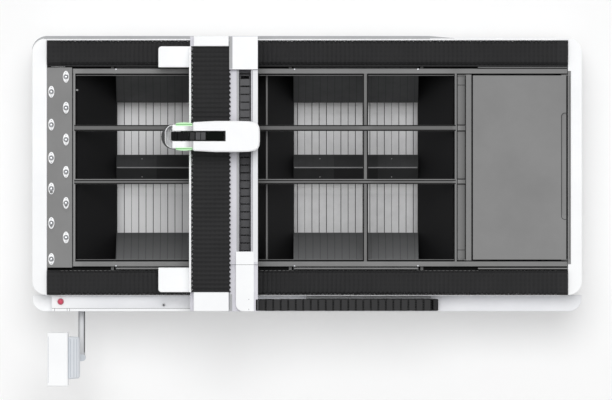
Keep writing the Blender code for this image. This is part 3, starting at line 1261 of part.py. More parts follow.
def build_x_pinion(shop, name, side, parent):
    """Pinion on a long-axis motor shaft."""
    y = side * MOTOR_Y
    low = GIRDER_TOP + PINION_DROP / 2
    at = Vector((MOTOR_X, y, low))
    return shop.piece(
        name, pinion_mesh(MOTOR_X, y, low, low + PINION_HIGH, PINION_RADIUS, MOTOR_SHAFT + GAP), "ground_steel", at, parent
    )


def chain_path(fixed, turn, end, low, bend):
    """Lower run, half turn and upper run as (length, point function)."""
    sign = 1 if turn > fixed else -1
    lower = abs(turn - fixed)
    half = math.pi * bend
    upper = abs(turn - end)

    def point(distance):
        if distance <= lower:
            return fixed + sign * distance, low, 0.0, -1.0
        if distance <= lower + half:
            angle = (distance - lower) / bend
            along = math.sin(angle)
            rise = -math.cos(angle)
            return turn + sign * bend * along, low + bend + bend * rise, sign * along, rise
        return turn - sign * (distance - lower - half), low + 2 * bend, 0.0, 1.0

    return lower + half + upper, point


def chain_mesh(length, point, pitch, thick, side0, side1, along_x):
    """Closed strip of chain links with a groove at every joint."""
    count = round(length / pitch)
    step = length / count
    marks = [(0.0, 0.0)]
    for i in range(1, count):
        at = step * i
        marks += [(at - CHAIN_GROOVE, 0.0), (at, CHAIN_INSET), (at + CHAIN_GROOVE, 0.0)]
    marks.append((length, 0.0))
    mesh = bmesh.new()
    rings = []
    for distance, inset in marks:
        along, height, out_along, out_up = point(distance)
        half = thick / 2 - inset
        ring = []
        for across, reach in ((side0 + inset, half), (side1 - inset, half), (side1 - inset, -half), (side0 + inset, -half)):
            place = along + out_along * reach
            z = height + out_up * reach
            ring.append(mesh.verts.new((place, across, z) if along_x else (across, place, z)))
        rings.append(ring)
    for one, two in zip(rings, rings[1:]):
        for i in range(4):
            j = (i + 1) % 4
            mesh.faces.new((one[i], one[j], two[j], two[i]))
    mesh.faces.new(rings[0])
    mesh.faces.new(rings[-1])
    return mesh


def build_y_chain(shop, parent):
    """Energy chain in the trough, from the duct cover round to the carriage."""
    length, point = chain_path(Y_CHAIN_FIXED, Y_CHAIN_TURN, Y_CHAIN_END, Y_CHAIN_LOW, Y_CHAIN_BEND)
    mesh = chain_mesh(length, point, Y_CHAIN_PITCH, Y_CHAIN_THICK, Y_CHAIN_X0, Y_CHAIN_X1, False)
    return shop.piece("y_chain", mesh, "black_plastic", shop.origins[parent.name], parent)


def build_x_chain(shop):
    """Energy chain on the front shelf, from its fixed end round to the gantry."""
    length, point = chain_path(X_CHAIN_FIXED, X_CHAIN_TURN, X_CHAIN_END, X_CHAIN_LOW, X_CHAIN_BEND)
    mesh = chain_mesh(length, point, X_CHAIN_PITCH, X_CHAIN_THICK, X_CHAIN_Y0, X_CHAIN_Y1, True)
    return shop.piece("x_chain", mesh, "black_plastic")


def build_z_chain(shop, parent):
    """Small energy chain in the cover's slot that bends down to the cutting head."""
    lower = Z_CHAIN_X0 - Z_CHAIN_TURN
    bend = Z_CHAIN_BEND
    quarter = math.pi * bend / 2
    end = HEAD_HIGH + GAP
    drop = Z_CHAIN_TOP - bend - end

    def point(distance):
        if distance <= lower:
            return Z_CHAIN_X0 - distance, Z_CHAIN_TOP, 0.0, 1.0
        if distance <= lower + quarter:
            angle = (distance - lower) / bend
            return (Z_CHAIN_TURN - bend * math.sin(angle), Z_CHAIN_TOP - bend + bend * math.cos(angle),
                    -math.sin(angle), math.cos(angle))
        return Z_CHAIN_TURN - bend, Z_CHAIN_TOP - bend - (distance - lower - quarter), -1.0, 0.0

    mesh = chain_mesh(lower + quarter + drop, point, Z_CHAIN_PITCH, Z_CHAIN_THICK, Z_CHAIN_Y0, Z_CHAIN_Y1, True)
    return shop.piece("z_chain", mesh, "black_plastic", shop.origins[parent.name], parent)


def build_carriage_plate(shop, parent):
    """Carriage: plate on guide blocks, bridge to the chain and upright plate for the head."""
    at = shop.origins[parent.name]
    y0, y1 = CARRIAGE_Y - PLATE_HALF_Y, CARRIAGE_Y + PLATE_HALF_Y
    base = boxes((PLATE_X0, PLATE_X1, y0, y1, PLATE_LOW, PLATE_HIGH))
    item = shop.piece("carriage_plate", base, "head_grey", at, parent)
    block_low = BEAM_HIGH + Y_RAIL_HIGH + SLIDE_GAP
    spans = [
        (x - GUIDE_BLOCK_HALF, x + GUIDE_BLOCK_HALF, y - GUIDE_BLOCK_HALF, y + GUIDE_BLOCK_HALF, block_low, PLATE_LOW + LAP)
        for x in Y_RAIL_XS for y in (y0 + 2 * GUIDE_BLOCK_HALF, y1 - 2 * GUIDE_BLOCK_HALF)
    ]
    back_half = HOOD_HALF_Y - BODY_WALL - GAP
    back0, back1 = CARRIAGE_Y - back_half, CARRIAGE_Y + back_half
    arm0, arm1 = Y_CHAIN_END - GAP - PLATE, Y_CHAIN_END + PLATE
    post_top = BODY_TOP - 2 * BODY_WALL - GAP
    spans += [
        (PLATE_X0, PLATE_X1, back0, back1, PLATE_HIGH - LAP, BRIDGE_HIGH - LAP),
        (BACK_PLATE_X0, PLATE_X0 + LAP, back0, back1, BRIDGE_LOW, BRIDGE_HIGH - LAP),
        (PLATE_X1 - CHAIN_ARM_ROOT, Y_CHAIN_X1, arm0, arm1, BRIDGE_LOW, BRIDGE_HIGH),
        (Y_CHAIN_X0, Y_CHAIN_X1, arm0, Y_CHAIN_END - GAP, Y_CHAIN_HIGH - Y_CHAIN_THICK / 2, BRIDGE_HIGH),
        (BACK_PLATE_X0, BACK_PLATE_X1, back0, back1, BACK_PLATE_LOW, BACK_PLATE_HIGH),
    ]
    for post0, post1 in ((y0, y0 + POST_DEPTH), (y1 - POST_DEPTH, y1)):
        spans.append((PLATE_X1 - COVER_POST, PLATE_X1, post0, post1, PLATE_HIGH - LAP, post_top))
    for side in (1, -1):
        middle = CARRIAGE_Y + side * Z_RAIL_Y
        spans.append((SLIDE_X1 + GAP, BACK_PLATE_X0 + LAP, middle - Z_RAIL_HALF, middle + Z_RAIL_HALF,
                      BACK_PLATE_LOW + PLATE, BACK_PLATE_HIGH - LAP))
    shop.cutter(item, boxes(*spans), "UNION")
    hole = add_cylinder(
        bmesh.new(), Y_MOTOR_X, Y_MOTOR_Y, PLATE_LOW - CUT_OVER, BRIDGE_HIGH + CUT_OVER, SHAFT_HOLE / 2
    )
    shop.cutter(item, hole, "DIFFERENCE")
    return item


def cover_outline(inset, open_end):
    """Plan of the carriage cover, fuller in its middle and round at its tail, less a wall all round."""
    start = BODY_X0 - open_end
    length = BODY_X1 - inset - start
    sides = [(start + along * length, across * CARRIAGE_HALF - inset) for along, across in COVER_SHARES]
    front = [(x, CARRIAGE_Y - half) for x, half in sides]
    return front + [(x, CARRIAGE_Y + half) for x, half in reversed(sides)]


def build_carriage_cover(shop, parent):
    """White moulded cover over the carriage, rounded at its tail, with a slot for the small chain."""
    item = soften(shop.piece("carriage_cover", prism(cover_outline(0, 0), BODY_LOW, BODY_TOP), "white_paint",
                             shop.origins[parent.name], parent), EDGE_RADIUS * 2)
    inner = cover_outline(BODY_WALL, CUT_OVER)
    shop.cutter(item, prism(inner, BODY_LOW - CUT_OVER, BODY_TOP - 2 * BODY_WALL), "DIFFERENCE")
    shop.cutter(item, boxes((BODY_X0 - CUT_OVER, SLOT_X1, SLOT_Y0, SLOT_Y1, BODY_TOP - CUT_OVER, BODY_TOP + CUT_OVER)),
                "DIFFERENCE")
    return item


def build_head_cover(shop, parent):
    """White hood over the head with a lower nose shroud and its inner plate."""
    at = shop.origins[parent.name]
    y0, y1 = CARRIAGE_Y - HOOD_HALF_Y, CARRIAGE_Y + HOOD_HALF_Y
    x1 = PLATE_X0 - GAP
    item = soften(shop.piece("head_cover", boxes((HOOD_X0, x1, y0, y1, HOOD_LOW, HOOD_TOP)), "white_paint", at, parent),
                  EDGE_RADIUS)
    nose = round_box_outline(SHROUD_X0, SHROUD_X1, y0, y1, (SHROUD_NOSE, 0, 0, SHROUD_NOSE), 6)
    shop.cutter(item, prism(nose, SHROUD_LOW, HOOD_LOW + LAP), "UNION")
    wall = BODY_WALL
    inner = round_box_outline(
        SHROUD_X0 + wall, SHROUD_X1 + CUT_OVER, y0 + wall, y1 - wall, (SHROUD_NOSE - wall, 0, 0, SHROUD_NOSE - wall), 6
    )
    shop.cutter(item, prism(inner, SHROUD_LOW + SHROUD_FLOOR, HOOD_LOW + CUT_OVER), "DIFFERENCE")
    shop.cutter(item, boxes(
        (HOOD_X0 + wall, x1 + CUT_OVER, y0 + wall, y1 - wall, HOOD_LOW - CUT_OVER, HOOD_TOP - wall),
        (HOOD_X0 - CUT_OVER, x1 + CUT_OVER, SLOT_Y0, SLOT_Y1, HOOD_TOP - CUT_OVER, HOOD_TOP + CUT_OVER),
        (HOOD_X0 - CUT_OVER, HOOD_X0 + CUT_OVER, SLOT_Y0, SLOT_Y1, HOOD_LOW - LAP, HOOD_TOP + CUT_OVER),
        (LIP_LEFT - LAP, x1 + CUT_OVER, y0 - CUT_OVER, y1 + CUT_OVER, HOOD_LOW - CUT_OVER, FOLD_HIGH),
    ), "DIFFERENCE")
    hole = add_cylinder(bmesh.new(), HEAD_X, CARRIAGE_Y, SHROUD_LOW - CUT_OVER, SHROUD_LOW + CUT_OVER, HEAD_HOLE)
    shop.cutter(item, hole, "DIFFERENCE")
    return item


def build_head_skirt(shop, parent):
    """Dark ring under the shroud, round the nozzle."""
    ring = add_cylinder(bmesh.new(), SKIRT_X, CARRIAGE_Y, SKIRT_LOW, SKIRT_HIGH, SKIRT_RADIUS, sides=24)
    item = shop.piece("head_skirt", ring, "motor_black", shop.origins[parent.name], parent)
    hole = add_cylinder(bmesh.new(), HEAD_X, CARRIAGE_Y, SKIRT_LOW - CUT_OVER, SKIRT_HIGH + CUT_OVER, HEAD_HOLE)
    shop.cutter(item, hole, "DIFFERENCE")
    return item


def build_light_strip(shop, name, side, parent):
    """Green light strip along one flank of the hood."""
    face = CARRIAGE_Y + side * (HOOD_HALF_Y + GAP)
    edge = face + side * LIGHT_OUT
    outline = [(LIGHT_X0, face), (LIGHT_X1, face), (LIGHT_X1 - 2 * LIGHT_OUT, edge), (LIGHT_X0 + 2 * LIGHT_OUT, edge)]
    mesh = prism(outline, LIGHT_LOW, LIGHT_HIGH)
    return shop.piece(name, mesh, "light_green", shop.origins[parent.name], parent)


def build_y_motor(shop, parent):
    """Servo motor of the cross axis, on the carriage plate."""
    low = BRIDGE_HIGH - LAP + GAP
    half = Y_MOTOR_HALF
    base = boxes((Y_MOTOR_X - half, Y_MOTOR_X + half, Y_MOTOR_Y - half, Y_MOTOR_Y + half, low, low + Y_MOTOR_HIGH))
    item = soften(shop.piece("y_motor", base, "motor_black", shop.origins[parent.name], parent), EDGE_RADIUS)
    shaft = add_cylinder(
        bmesh.new(), Y_MOTOR_X, Y_MOTOR_Y, BEAM_HIGH + SLIDE_GAP * 4, low + LAP, MOTOR_SHAFT / 2, sides=10
    )
    shop.cutter(item, shaft, "UNION")
    return item


def build_y_pinion(shop, parent):
    """Pinion on the cross-axis motor shaft."""
    low = BEAM_HIGH + SLIDE_GAP * 6
    at = Vector((Y_MOTOR_X, Y_MOTOR_Y, low))
    mesh = pinion_mesh(Y_MOTOR_X, Y_MOTOR_Y, low, low + PINION_DROP, PINION_RADIUS, MOTOR_SHAFT / 2 + GAP)
    return shop.piece("y_pinion", mesh, "ground_steel", at, parent)


def build_z_motor(shop, parent):
    """Motor of the lift axis, on top of the upright plate."""
    low = BACK_PLATE_HIGH + GAP
    half = Z_MOTOR_HALF
    base = boxes((
        SCREW_X - half, SCREW_X + half, CARRIAGE_Y - half, CARRIAGE_Y + half, low, low + Z_MOTOR_HIGH
    ))
    return soften(shop.piece("z_motor", base, "motor_black", shop.origins[parent.name], parent), SMALL_RADIUS)


def build_z_screw(shop, parent):
    """Lift screw with its coupling."""
    top = BACK_PLATE_HIGH
    at = Vector((SCREW_X, CARRIAGE_Y, top))
    base = add_cylinder(bmesh.new(), SCREW_X, CARRIAGE_Y, BACK_PLATE_LOW + PLATE, top - LAP, SCREW_RADIUS, sides=10)
    item = shop.piece("z_screw", base, "ground_steel", at, parent)
    collar = add_cylinder(
        bmesh.new(), SCREW_X, CARRIAGE_Y, top - SCREW_COLLAR_HIGH, top, SCREW_COLLAR, sides=6
    )
    shop.cutter(item, collar, "UNION")
    return item


def build_cutting_head(shop, parent):
    """Laser cutting head: slide plate, barrel, optics box and collars."""
    at = shop.origins[parent.name]
    half = HEAD_BOX_HALF
    barrel = add_cylinder(bmesh.new(), HEAD_X, CARRIAGE_Y, HEAD_LOW, HEAD_HIGH, HEAD_RADIUS, sides=20)
    item = shop.piece("cutting_head", barrel, "head_grey", at, parent)
    mesh = boxes(
        (SLIDE_X0, SLIDE_X1, CARRIAGE_Y - SLIDE_HALF_Y, CARRIAGE_Y + SLIDE_HALF_Y, HEAD_BOX_LOW - half,
         HEAD_HIGH - 2 * half),
        (HEAD_X - half, SLIDE_X0 + LAP, CARRIAGE_Y - half, CARRIAGE_Y + half, HEAD_BOX_LOW, HEAD_BOX_HIGH),
    )
    shop.cutter(item, mesh, "UNION")
    collars = add_cylinder(
        bmesh.new(), HEAD_X, CARRIAGE_Y, HEAD_LOW + PLATE, HEAD_LOW + 2 * PLATE, HEAD_COLLAR_RADIUS, sides=20
    )
    add_cylinder(collars, HEAD_X, CARRIAGE_Y, HEAD_HIGH - 4 * PLATE, HEAD_HIGH - 3 * PLATE, HEAD_COLLAR_RADIUS, sides=20)
    shop.cutter(item, collars, "UNION")
    return item


def build_nozzle(shop, parent):
    """Copper nozzle under the head: turned cone."""
    top = HEAD_LOW - GAP
    base = add_cylinder(bmesh.new(), HEAD_X, CARRIAGE_Y, NOZZLE_NECK, top, NOZZLE_TOP_RADIUS, sides=16)
    item = shop.piece("nozzle", base, "copper", shop.origins[parent.name], parent)
    cone = add_cylinder(
        bmesh.new(), HEAD_X, CARRIAGE_Y, NOZZLE_TIP, NOZZLE_NECK + SMALL_RADIUS, NOZZLE_TIP_RADIUS, NOZZLE_TOP_RADIUS * 0.9,
        sides=16,
    )
    shop.cutter(item, cone, "UNION")
    return item


def build_arm_bracket(shop):
    """Hinge bracket of the console arm, bolted under the shelf."""
    inner = -DECK_FRONT - GAP
    plate = boxes((
        ARM_X - ARM_KNUCKLE, ARM_X + ARM_KNUCKLE, inner - BRACKET_PLATE, inner, BRACKET_LOW, BRACKET_HIGH
    ))
    item = shop.piece("arm_bracket", plate, "white_paint")
    outer = ARM_PIVOT_Y - ARM_KNUCKLE / 2
    mesh = boxes(
        (ARM_X - ARM_KNUCKLE, ARM_X + ARM_KNUCKLE, outer, inner - LAP, BRACKET_LOW, ARM_LOW - SLIDE_GAP),
        (ARM_X - ARM_KNUCKLE, ARM_X + ARM_KNUCKLE, outer, inner - LAP, ARM_HIGH + SLIDE_GAP, BRACKET_HIGH),
    )
    add_cylinder(mesh, ARM_X, ARM_PIVOT_Y, BRACKET_LOW + LAP, BRACKET_HIGH - LAP, PIN_RADIUS, sides=12)
    shop.cutter(item, mesh, "UNION")
    return item


def build_console_arm(shop, parent):
    """Swing arm: knuckle, level tube and post."""
    at = shop.origins[parent.name]
    base = boxes((ARM_X - ARM_HALF, ARM_X + ARM_HALF, POST_Y - ARM_HALF, ARM_PIVOT_Y, ARM_LOW, ARM_HIGH))
    item = shop.piece("console_arm", base, "white_paint", at, parent)
    mesh = add_cylinder(bmesh.new(), ARM_X, ARM_PIVOT_Y, ARM_LOW, ARM_HIGH, ARM_HALF, sides=16)
    shop.cutter(item, mesh, "UNION")
    post = add_cylinder(bmesh.new(), POST_X, POST_Y, ARM_LOW + LAP, POST_TOP, POST_RADIUS, sides=16)
    add_cylinder(post, POST_X, POST_Y, POST_TOP - POST_COLLAR_HIGH, POST_TOP, POST_COLLAR, sides=16)
    shop.cutter(item, post, "UNION")
    hole = add_cylinder(
        bmesh.new(), ARM_X, ARM_PIVOT_Y, ARM_LOW - CUT_OVER, ARM_HIGH + CUT_OVER, PIN_RADIUS + SLIDE_GAP, sides=12
    )
    shop.cutter(item, hole, "DIFFERENCE")
    return item


def build_console_housing(shop, parent):
    """White operator console: upright box with a recess for the screen."""
    base = boxes((HOUSING_X0, HOUSING_X1, HOUSING_Y0, HOUSING_Y1, HOUSING_LOW, HOUSING_TOP))
    item = soften(shop.piece("console_housing", base, "white_paint", shop.origins[parent.name], parent), HOUSING_EDGE, 2)
    seat = boxes((
        HOUSING_X0 - CUT_OVER, HOUSING_X0 + SCREEN_SINK, HOUSING_Y0 + SCREEN_MARGIN, HOUSING_Y1 - SCREEN_MARGIN,
        SCREEN_LOW, SCREEN_HIGH,
    ))
    shop.cutter(item, seat, "DIFFERENCE")
    return item


def build_console_screen(shop, parent):
    """Glass screen in its recess."""
    x0 = HOUSING_X0 + SCREEN_SEAT
    x1 = HOUSING_X0 + SCREEN_SINK - GAP
    base = boxes((
        x0, x1, HOUSING_Y0 + SCREEN_MARGIN + GAP, HOUSING_Y1 - SCREEN_MARGIN - GAP, SCREEN_LOW + GAP, SCREEN_HIGH - GAP
    ))
    return shop.piece("console_screen", base, "dark_glass", shop.origins[parent.name], parent)


def build_console_shell(shop, parent):
    """Rear shell of the console with the neck that turns on the post."""
    x0 = HOUSING_X1 + GAP
    outline = [
        (x0, SHELL_Y0), (SHELL_X1, SHELL_Y0 + SHELL_TAPER), (SHELL_X1, SHELL_Y1 - SHELL_TAPER), (x0, SHELL_Y1)
    ]
    item = soften(shop.piece("console_rear_shell", prism(outline, SHELL_LOW, SHELL_TOP), "blue_grey_plastic",
                             shop.origins[parent.name], parent), HOUSING_EDGE)
    low = POST_TOP + GAP
    neck = boxes((
        SHELL_X1 - NECK_HIGH, POST_X, POST_Y - NECK_HALF_Y, POST_Y + NECK_HALF_Y, SHELL_LOW, SHELL_LOW + NECK_HIGH
    ))
    add_cylinder(neck, POST_X, POST_Y, low, SHELL_LOW + NECK_HIGH, NECK_HALF_Y, sides=16)
    shop.cutter(item, neck, "UNION")
    return item


def build_body(shop):
    """Everything that stands still."""
    build_bed_frame(shop)
    for bay in HOPPER_X:
        build_hopper(shop, bay)
    build_support_frame(shop)
    build_ball_table(shop)
    build_cap(shop, "left_cap", -1, LEFT_CAP_INNER)
    build_cap(shop, "right_cap", 1, RIGHT_CAP_INNER)
    build_rear_panel(shop)
    build_rear_trim(shop)
    build_front_panel(shop)
    build_front_shelf(shop)
    build_control_box(shop)
    build_emergency_stop(shop)
    build_key(shop)
    build_arm_bracket(shop)
    for label, side in (("rear", 1), ("front", -1)):
        build_x_rail(shop, f"x_rail_{label}", side)
        left = -LEFT_CAP_INNER + GAP
        right = RIGHT_CAP_INNER - GAP
        build_long_bellows(shop, f"bellows_left_{label}", side, left, GANTRY_LEFT - GAP, (LONG_FLAT, 0))
        build_long_bellows(shop, f"bellows_right_{label}", side, GANTRY_RIGHT + GAP, right, (0, LONG_FLAT))
    hinge = shop.empty("hatch_hinge", Vector((HATCH_X0, 0, HATCH_PIN_Z)), shop.datum)
    build_hatch(shop, hinge)
    for bay in HOPPER_X:
        for label, side in (("rear", 1), ("front", -1)):
            build_drawer(shop, bay, f"drawer_{label}_{bay}", side)
    build_x_chain(shop)


def build_gantry(shop):
    """The travelling gantry with its drives, covers and chain."""
    middle = Vector(((GANTRY_LEFT + GANTRY_RIGHT) / 2, 0, SADDLE_LOW))
    gantry = shop.empty("gantry_slide", middle, shop.datum)
    build_gantry_beam(shop, gantry)
    for label, side in (("rear", 1), ("front", -1)):
        build_saddle(shop, f"saddle_{label}", side, gantry)
        build_end_cover(shop, f"end_cover_{label}", side, gantry)
        build_saddle_cover(shop, f"saddle_cover_{label}", side, gantry)
        build_x_motor(shop, f"x_motor_{label}", side, gantry)
        build_x_pinion(shop, f"x_pinion_{label}", side, gantry)
    build_chain_trough(shop, gantry)
    build_duct_cover(shop, gantry)
    build_y_chain(shop, gantry)
    reach = PLATE_HALF_Y + GAP
    build_beam_bellows(shop, "beam_bellows_rear", CARRIAGE_Y + reach, BEAM_Y1 - SMALL_RADIUS, gantry)
    build_beam_bellows(shop, "beam_bellows_front", BEAM_Y0 + SMALL_RADIUS, CARRIAGE_Y - reach, gantry)
    return gantry


def build_carriage(shop, gantry):
    """The cross carriage and the cutting head."""
    carriage = shop.empty("carriage_slide", Vector((PLATE_X0, CARRIAGE_Y, PLATE_LOW)), gantry)
    build_carriage_plate(shop, carriage)
    build_carriage_cover(shop, carriage)
    build_head_cover(shop, carriage)
    build_head_skirt(shop, carriage)
    build_light_strip(shop, "light_strip_rear", 1, carriage)
    build_light_strip(shop, "light_strip_front", -1, carriage)
    build_y_motor(shop, carriage)
    build_y_pinion(shop, carriage)
    build_z_motor(shop, carriage)
    build_z_screw(shop, carriage)
    build_z_chain(shop, carriage)
    lift = shop.empty("head_lift", Vector((HEAD_X, CARRIAGE_Y, HEAD_LOW)), carriage)
    build_cutting_head(shop, lift)
    build_nozzle(shop, lift)


def build_console(shop):
    """Swing arm and operator console."""
    swing = shop.empty("console_swing", Vector((ARM_X, ARM_PIVOT_Y, ARM_LOW)), shop.datum)
    build_console_arm(shop, swing)
    swivel = shop.empty("console_swivel", Vector((POST_X, POST_Y, POST_TOP)), swing)
    build_console_housing(shop, swivel)
    build_console_screen(shop, swivel)
    build_console_shell(shop, swivel)


def main():
    """Build the whole machine."""
    clear_scene()
    shop = Workshop()
    build_body(shop)
    gantry = build_gantry(shop)
    build_carriage(shop, gantry)
    build_console(shop)


if __name__ == "__main__":
    main()
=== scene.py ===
"""Finishes and fine pieces of a fiber laser cutting machine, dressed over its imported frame."""

import logging
import math
from dataclasses import dataclass
from enum import Enum
from typing import Iterable, Optional, Sequence

import bmesh
import bpy
from mathutils import Matrix, Vector
from mathutils.bvhtree import BVHTree

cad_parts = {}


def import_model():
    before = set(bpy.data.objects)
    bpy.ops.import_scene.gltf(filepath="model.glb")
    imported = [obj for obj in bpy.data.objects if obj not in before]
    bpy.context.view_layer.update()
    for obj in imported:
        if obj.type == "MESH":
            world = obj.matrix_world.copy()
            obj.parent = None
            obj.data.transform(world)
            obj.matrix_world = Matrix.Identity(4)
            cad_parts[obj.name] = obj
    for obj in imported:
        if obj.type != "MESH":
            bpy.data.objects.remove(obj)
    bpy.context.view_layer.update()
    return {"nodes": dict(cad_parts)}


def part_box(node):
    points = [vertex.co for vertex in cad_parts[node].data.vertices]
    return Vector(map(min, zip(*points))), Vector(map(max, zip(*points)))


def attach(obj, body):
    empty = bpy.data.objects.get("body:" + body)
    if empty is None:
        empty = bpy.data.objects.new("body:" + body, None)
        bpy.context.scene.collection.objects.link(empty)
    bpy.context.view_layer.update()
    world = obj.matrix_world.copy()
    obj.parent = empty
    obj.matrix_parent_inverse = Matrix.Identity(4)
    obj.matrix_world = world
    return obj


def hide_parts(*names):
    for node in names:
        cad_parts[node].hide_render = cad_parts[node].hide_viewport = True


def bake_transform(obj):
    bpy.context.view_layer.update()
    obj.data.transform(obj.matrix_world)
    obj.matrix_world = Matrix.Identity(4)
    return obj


log = logging.getLogger("laser_machine")

Point = tuple[float, float]
Box = tuple[float, float, float, float, float, float]
Mesh = bmesh.types.BMesh
Vert = bmesh.types.BMVert
Item = bpy.types.Object
Tree = bpy.types.NodeTree
Node = bpy.types.Node
Socket = bpy.types.NodeSocket

PIXEL = 0.0084
IMAGE_WIDTH = 612
IMAGE_MIDDLE = (306.0, 200.0)
MACHINE_MIDDLE = (307.0, 167.5)
MACHINE_Y = 0.364
SKY = 5.0


def x_at(px: float) -> float:
    """Place along X, in metres, of a pixel column of the photograph."""
    return (px - MACHINE_MIDDLE[0]) * PIXEL


def y_at(py: float) -> float:
    """Place along Y, in metres, of a pixel row of the photograph."""
    return (MACHINE_MIDDLE[1] - py) * PIXEL + MACHINE_Y


def at_pixel(px: float, py: float) -> Point:
    """Place in plan, in metres, of a pixel of the photograph."""
    return x_at(px), y_at(py)


def pixel_box(px0: float, px1: float, py0: float, py1: float, z0: float, z1: float) -> Box:
    """Box over a rectangle of the photograph, between two heights."""
    return x_at(px0), x_at(px1), y_at(py1), y_at(py0), z0, z1


def place_box(x0: float, x1: float, y0: float, y1: float, z0: float, z1: float) -> Box:
    """Box given about the machine's own middle line."""
    return x0, x1, y0 + MACHINE_Y, y1 + MACHINE_Y, z0, z1


def linear(code: str) -> tuple[float, float, float, float]:
    """Linear colour of an sRGB hex code."""
    shares = [int(code[i:i + 2], 16) / 255 for i in (1, 3, 5)]
    values = [s / 12.92 if s <= 0.04045 else ((s + 0.055) / 1.055) ** 2.4 for s in shares]
    return values[0], values[1], values[2], 1.0


def add_node(tree: Tree, kind: str, settings: Optional[dict] = None, links: Optional[dict] = None) -> Node:
    """Add one shader node.

    Args:
        tree: Node tree that takes the node.
        kind: Blender's name of the node type, without its common first part.
        settings: Values by input name, input number or node property.
        links: Sources by input name or input number; a node stands for its first output.

    Returns:
        The new node.
    """
    node = tree.nodes.new("ShaderNode" + kind)
    for key, value in (settings or {}).items():
        if not isinstance(key, int) and hasattr(node, key):
            setattr(node, key, value)
    for key, value in (settings or {}).items():
        if isinstance(key, int) or not hasattr(node, key):
            node.inputs[key].default_value = value
    for key, source in (links or {}).items():
        tree.links.new(source.outputs[0] if isinstance(source, Node) else source, node.inputs[key])
    return node


class Surface(Enum):
    """How a surface was made, which sets its relief."""

    POWDER_COATED = "powder coated"
    ROLLED = "rolled"
    BRUSHED_LENGTHWAYS = "brushed lengthways"
    WOVEN = "woven and coated"
    MOULDED = "moulded"
    GROUND = "ground"
    POLISHED = "polished"


@dataclass(frozen=True)
class Finish:
    """A real surface: its stuff, how it was made, and what that gives the eye."""

    name: str
    slot: str
    surface: Surface
    colour: str
    shade: str
    roughness: float
    metallic: float = 0.0
    coat: float = 0.0
    specular: float = 0.5
    grain_mm: float = 2.0
    relief_mm: float = 0.05
    patch_mm: float = 400.0
    spread: float = 0.12

    def height(self, tree: Tree, place: Socket) -> Socket:
        """Relief of the surface at its real grain size.

        Args:
            tree: Material's node tree.
            place: Position socket in metres.

        Returns:
            Socket with heights from 0 to 1.
        """
        scale = 1000.0 / self.grain_mm
        if self.surface is Surface.WOVEN:
            waves = [
                add_node(tree, "TexWave", {"bands_direction": axis, "Scale": scale / 20, "Distortion": 0.4},
                         {"Vector": place}).outputs["Fac"]
                for axis in ("X", "Y")
            ]
            return add_node(tree, "Math", {"operation": "MULTIPLY"}, {0: waves[0], 1: waves[1]}).outputs[0]
        stretch = {
            Surface.BRUSHED_LENGTHWAYS: (0.02, 1.0, 1.0),
            Surface.ROLLED: (0.15, 1.0, 1.0),
            Surface.GROUND: (1.0, 0.05, 1.0),
        }.get(self.surface, (1.0, 1.0, 1.0))
        turned = add_node(tree, "Mapping", {"Scale": stretch}, {"Vector": place})
        detail = 2.0 if self.surface is Surface.POWDER_COATED else 4.0
        noise = add_node(tree, "TexNoise", {"Scale": scale, "Detail": detail, "Roughness": 0.55},
                         {"Vector": turned})
        return noise.outputs["Fac"]

    def tone(self, tree: Tree, place: Socket) -> Socket:
        """Slow drift from the main colour to its shade, as dust and handling leave it."""
        patch = add_node(tree, "TexNoise", {"Scale": 1000.0 / self.patch_mm, "Detail": 5.0, "Roughness": 0.6},
                         {"Vector": place})
        reach = add_node(tree, "MapRange", {"From Min": 0.35, "From Max": 0.75},
                         {"Value": patch.outputs["Fac"]})
        mix = add_node(tree, "Mix", {"data_type": "RGBA", 6: linear(self.colour), 7: linear(self.shade)},
                       {0: reach})
        return mix.outputs[2]

    def material(self) -> bpy.types.Material:
        """The finish as a node material, made once."""
        found = bpy.data.materials.get(self.name)
        if found:
            return found
        made = bpy.data.materials.new(self.name)
        made.use_nodes = True
        tree = made.node_tree
        shader = tree.nodes["Principled BSDF"]
        place = add_node(tree, "TexCoord").outputs["Object"]
        height = self.height(tree, place)
        tree.links.new(self.tone(tree, place), shader.inputs["Base Color"])
        shader.inputs["Metallic"].default_value = self.metallic
        shader.inputs["Coat Weight"].default_value = self.coat
        shader.inputs["Specular IOR Level"].default_value = self.specular
        low, high = self.roughness * (1 - self.spread), self.roughness * (1 + self.spread)
        rough = add_node(tree, "MapRange", {"To Min": low, "To Max": high}, {"Value": height})
        tree.links.new(rough.outputs[0], shader.inputs["Roughness"])
        bump = add_node(tree, "Bump", {"Strength": 0.35, "Distance": self.relief_mm / 1000},
                        {"Height": height})
        tree.links.new(bump.outputs[0], shader.inputs["Normal"])
        self.extra(tree, shader, place)
        made.diffuse_color = linear(self.colour)
        return made

    def extra(self, tree: Tree, shader: Node, place: Socket) -> None:
        """Anything that one finish adds to the common ones."""

    @staticmethod
    def lay_over(tree: Tree, shader: Node, tones: Iterable[tuple[Node, str]]) -> None:
        """Lay tones over the base colour in turn, each by its own share."""
        colour = shader.inputs["Base Color"].links[0].from_socket
        for share, code in tones:
            mix = add_node(tree, "Mix", {"data_type": "RGBA", 7: linear(code)}, {0: share, 6: colour})
            colour = mix.outputs[2]
        tree.links.new(colour, shader.inputs["Base Color"])

    def put_on(self, item: Item) -> Item:
        """Give a piece this finish all over."""
        if item.material_slots:
            for slot in item.material_slots:
                slot.material = self.material()
        else:
            item.data.materials.append(self.material())
        return item


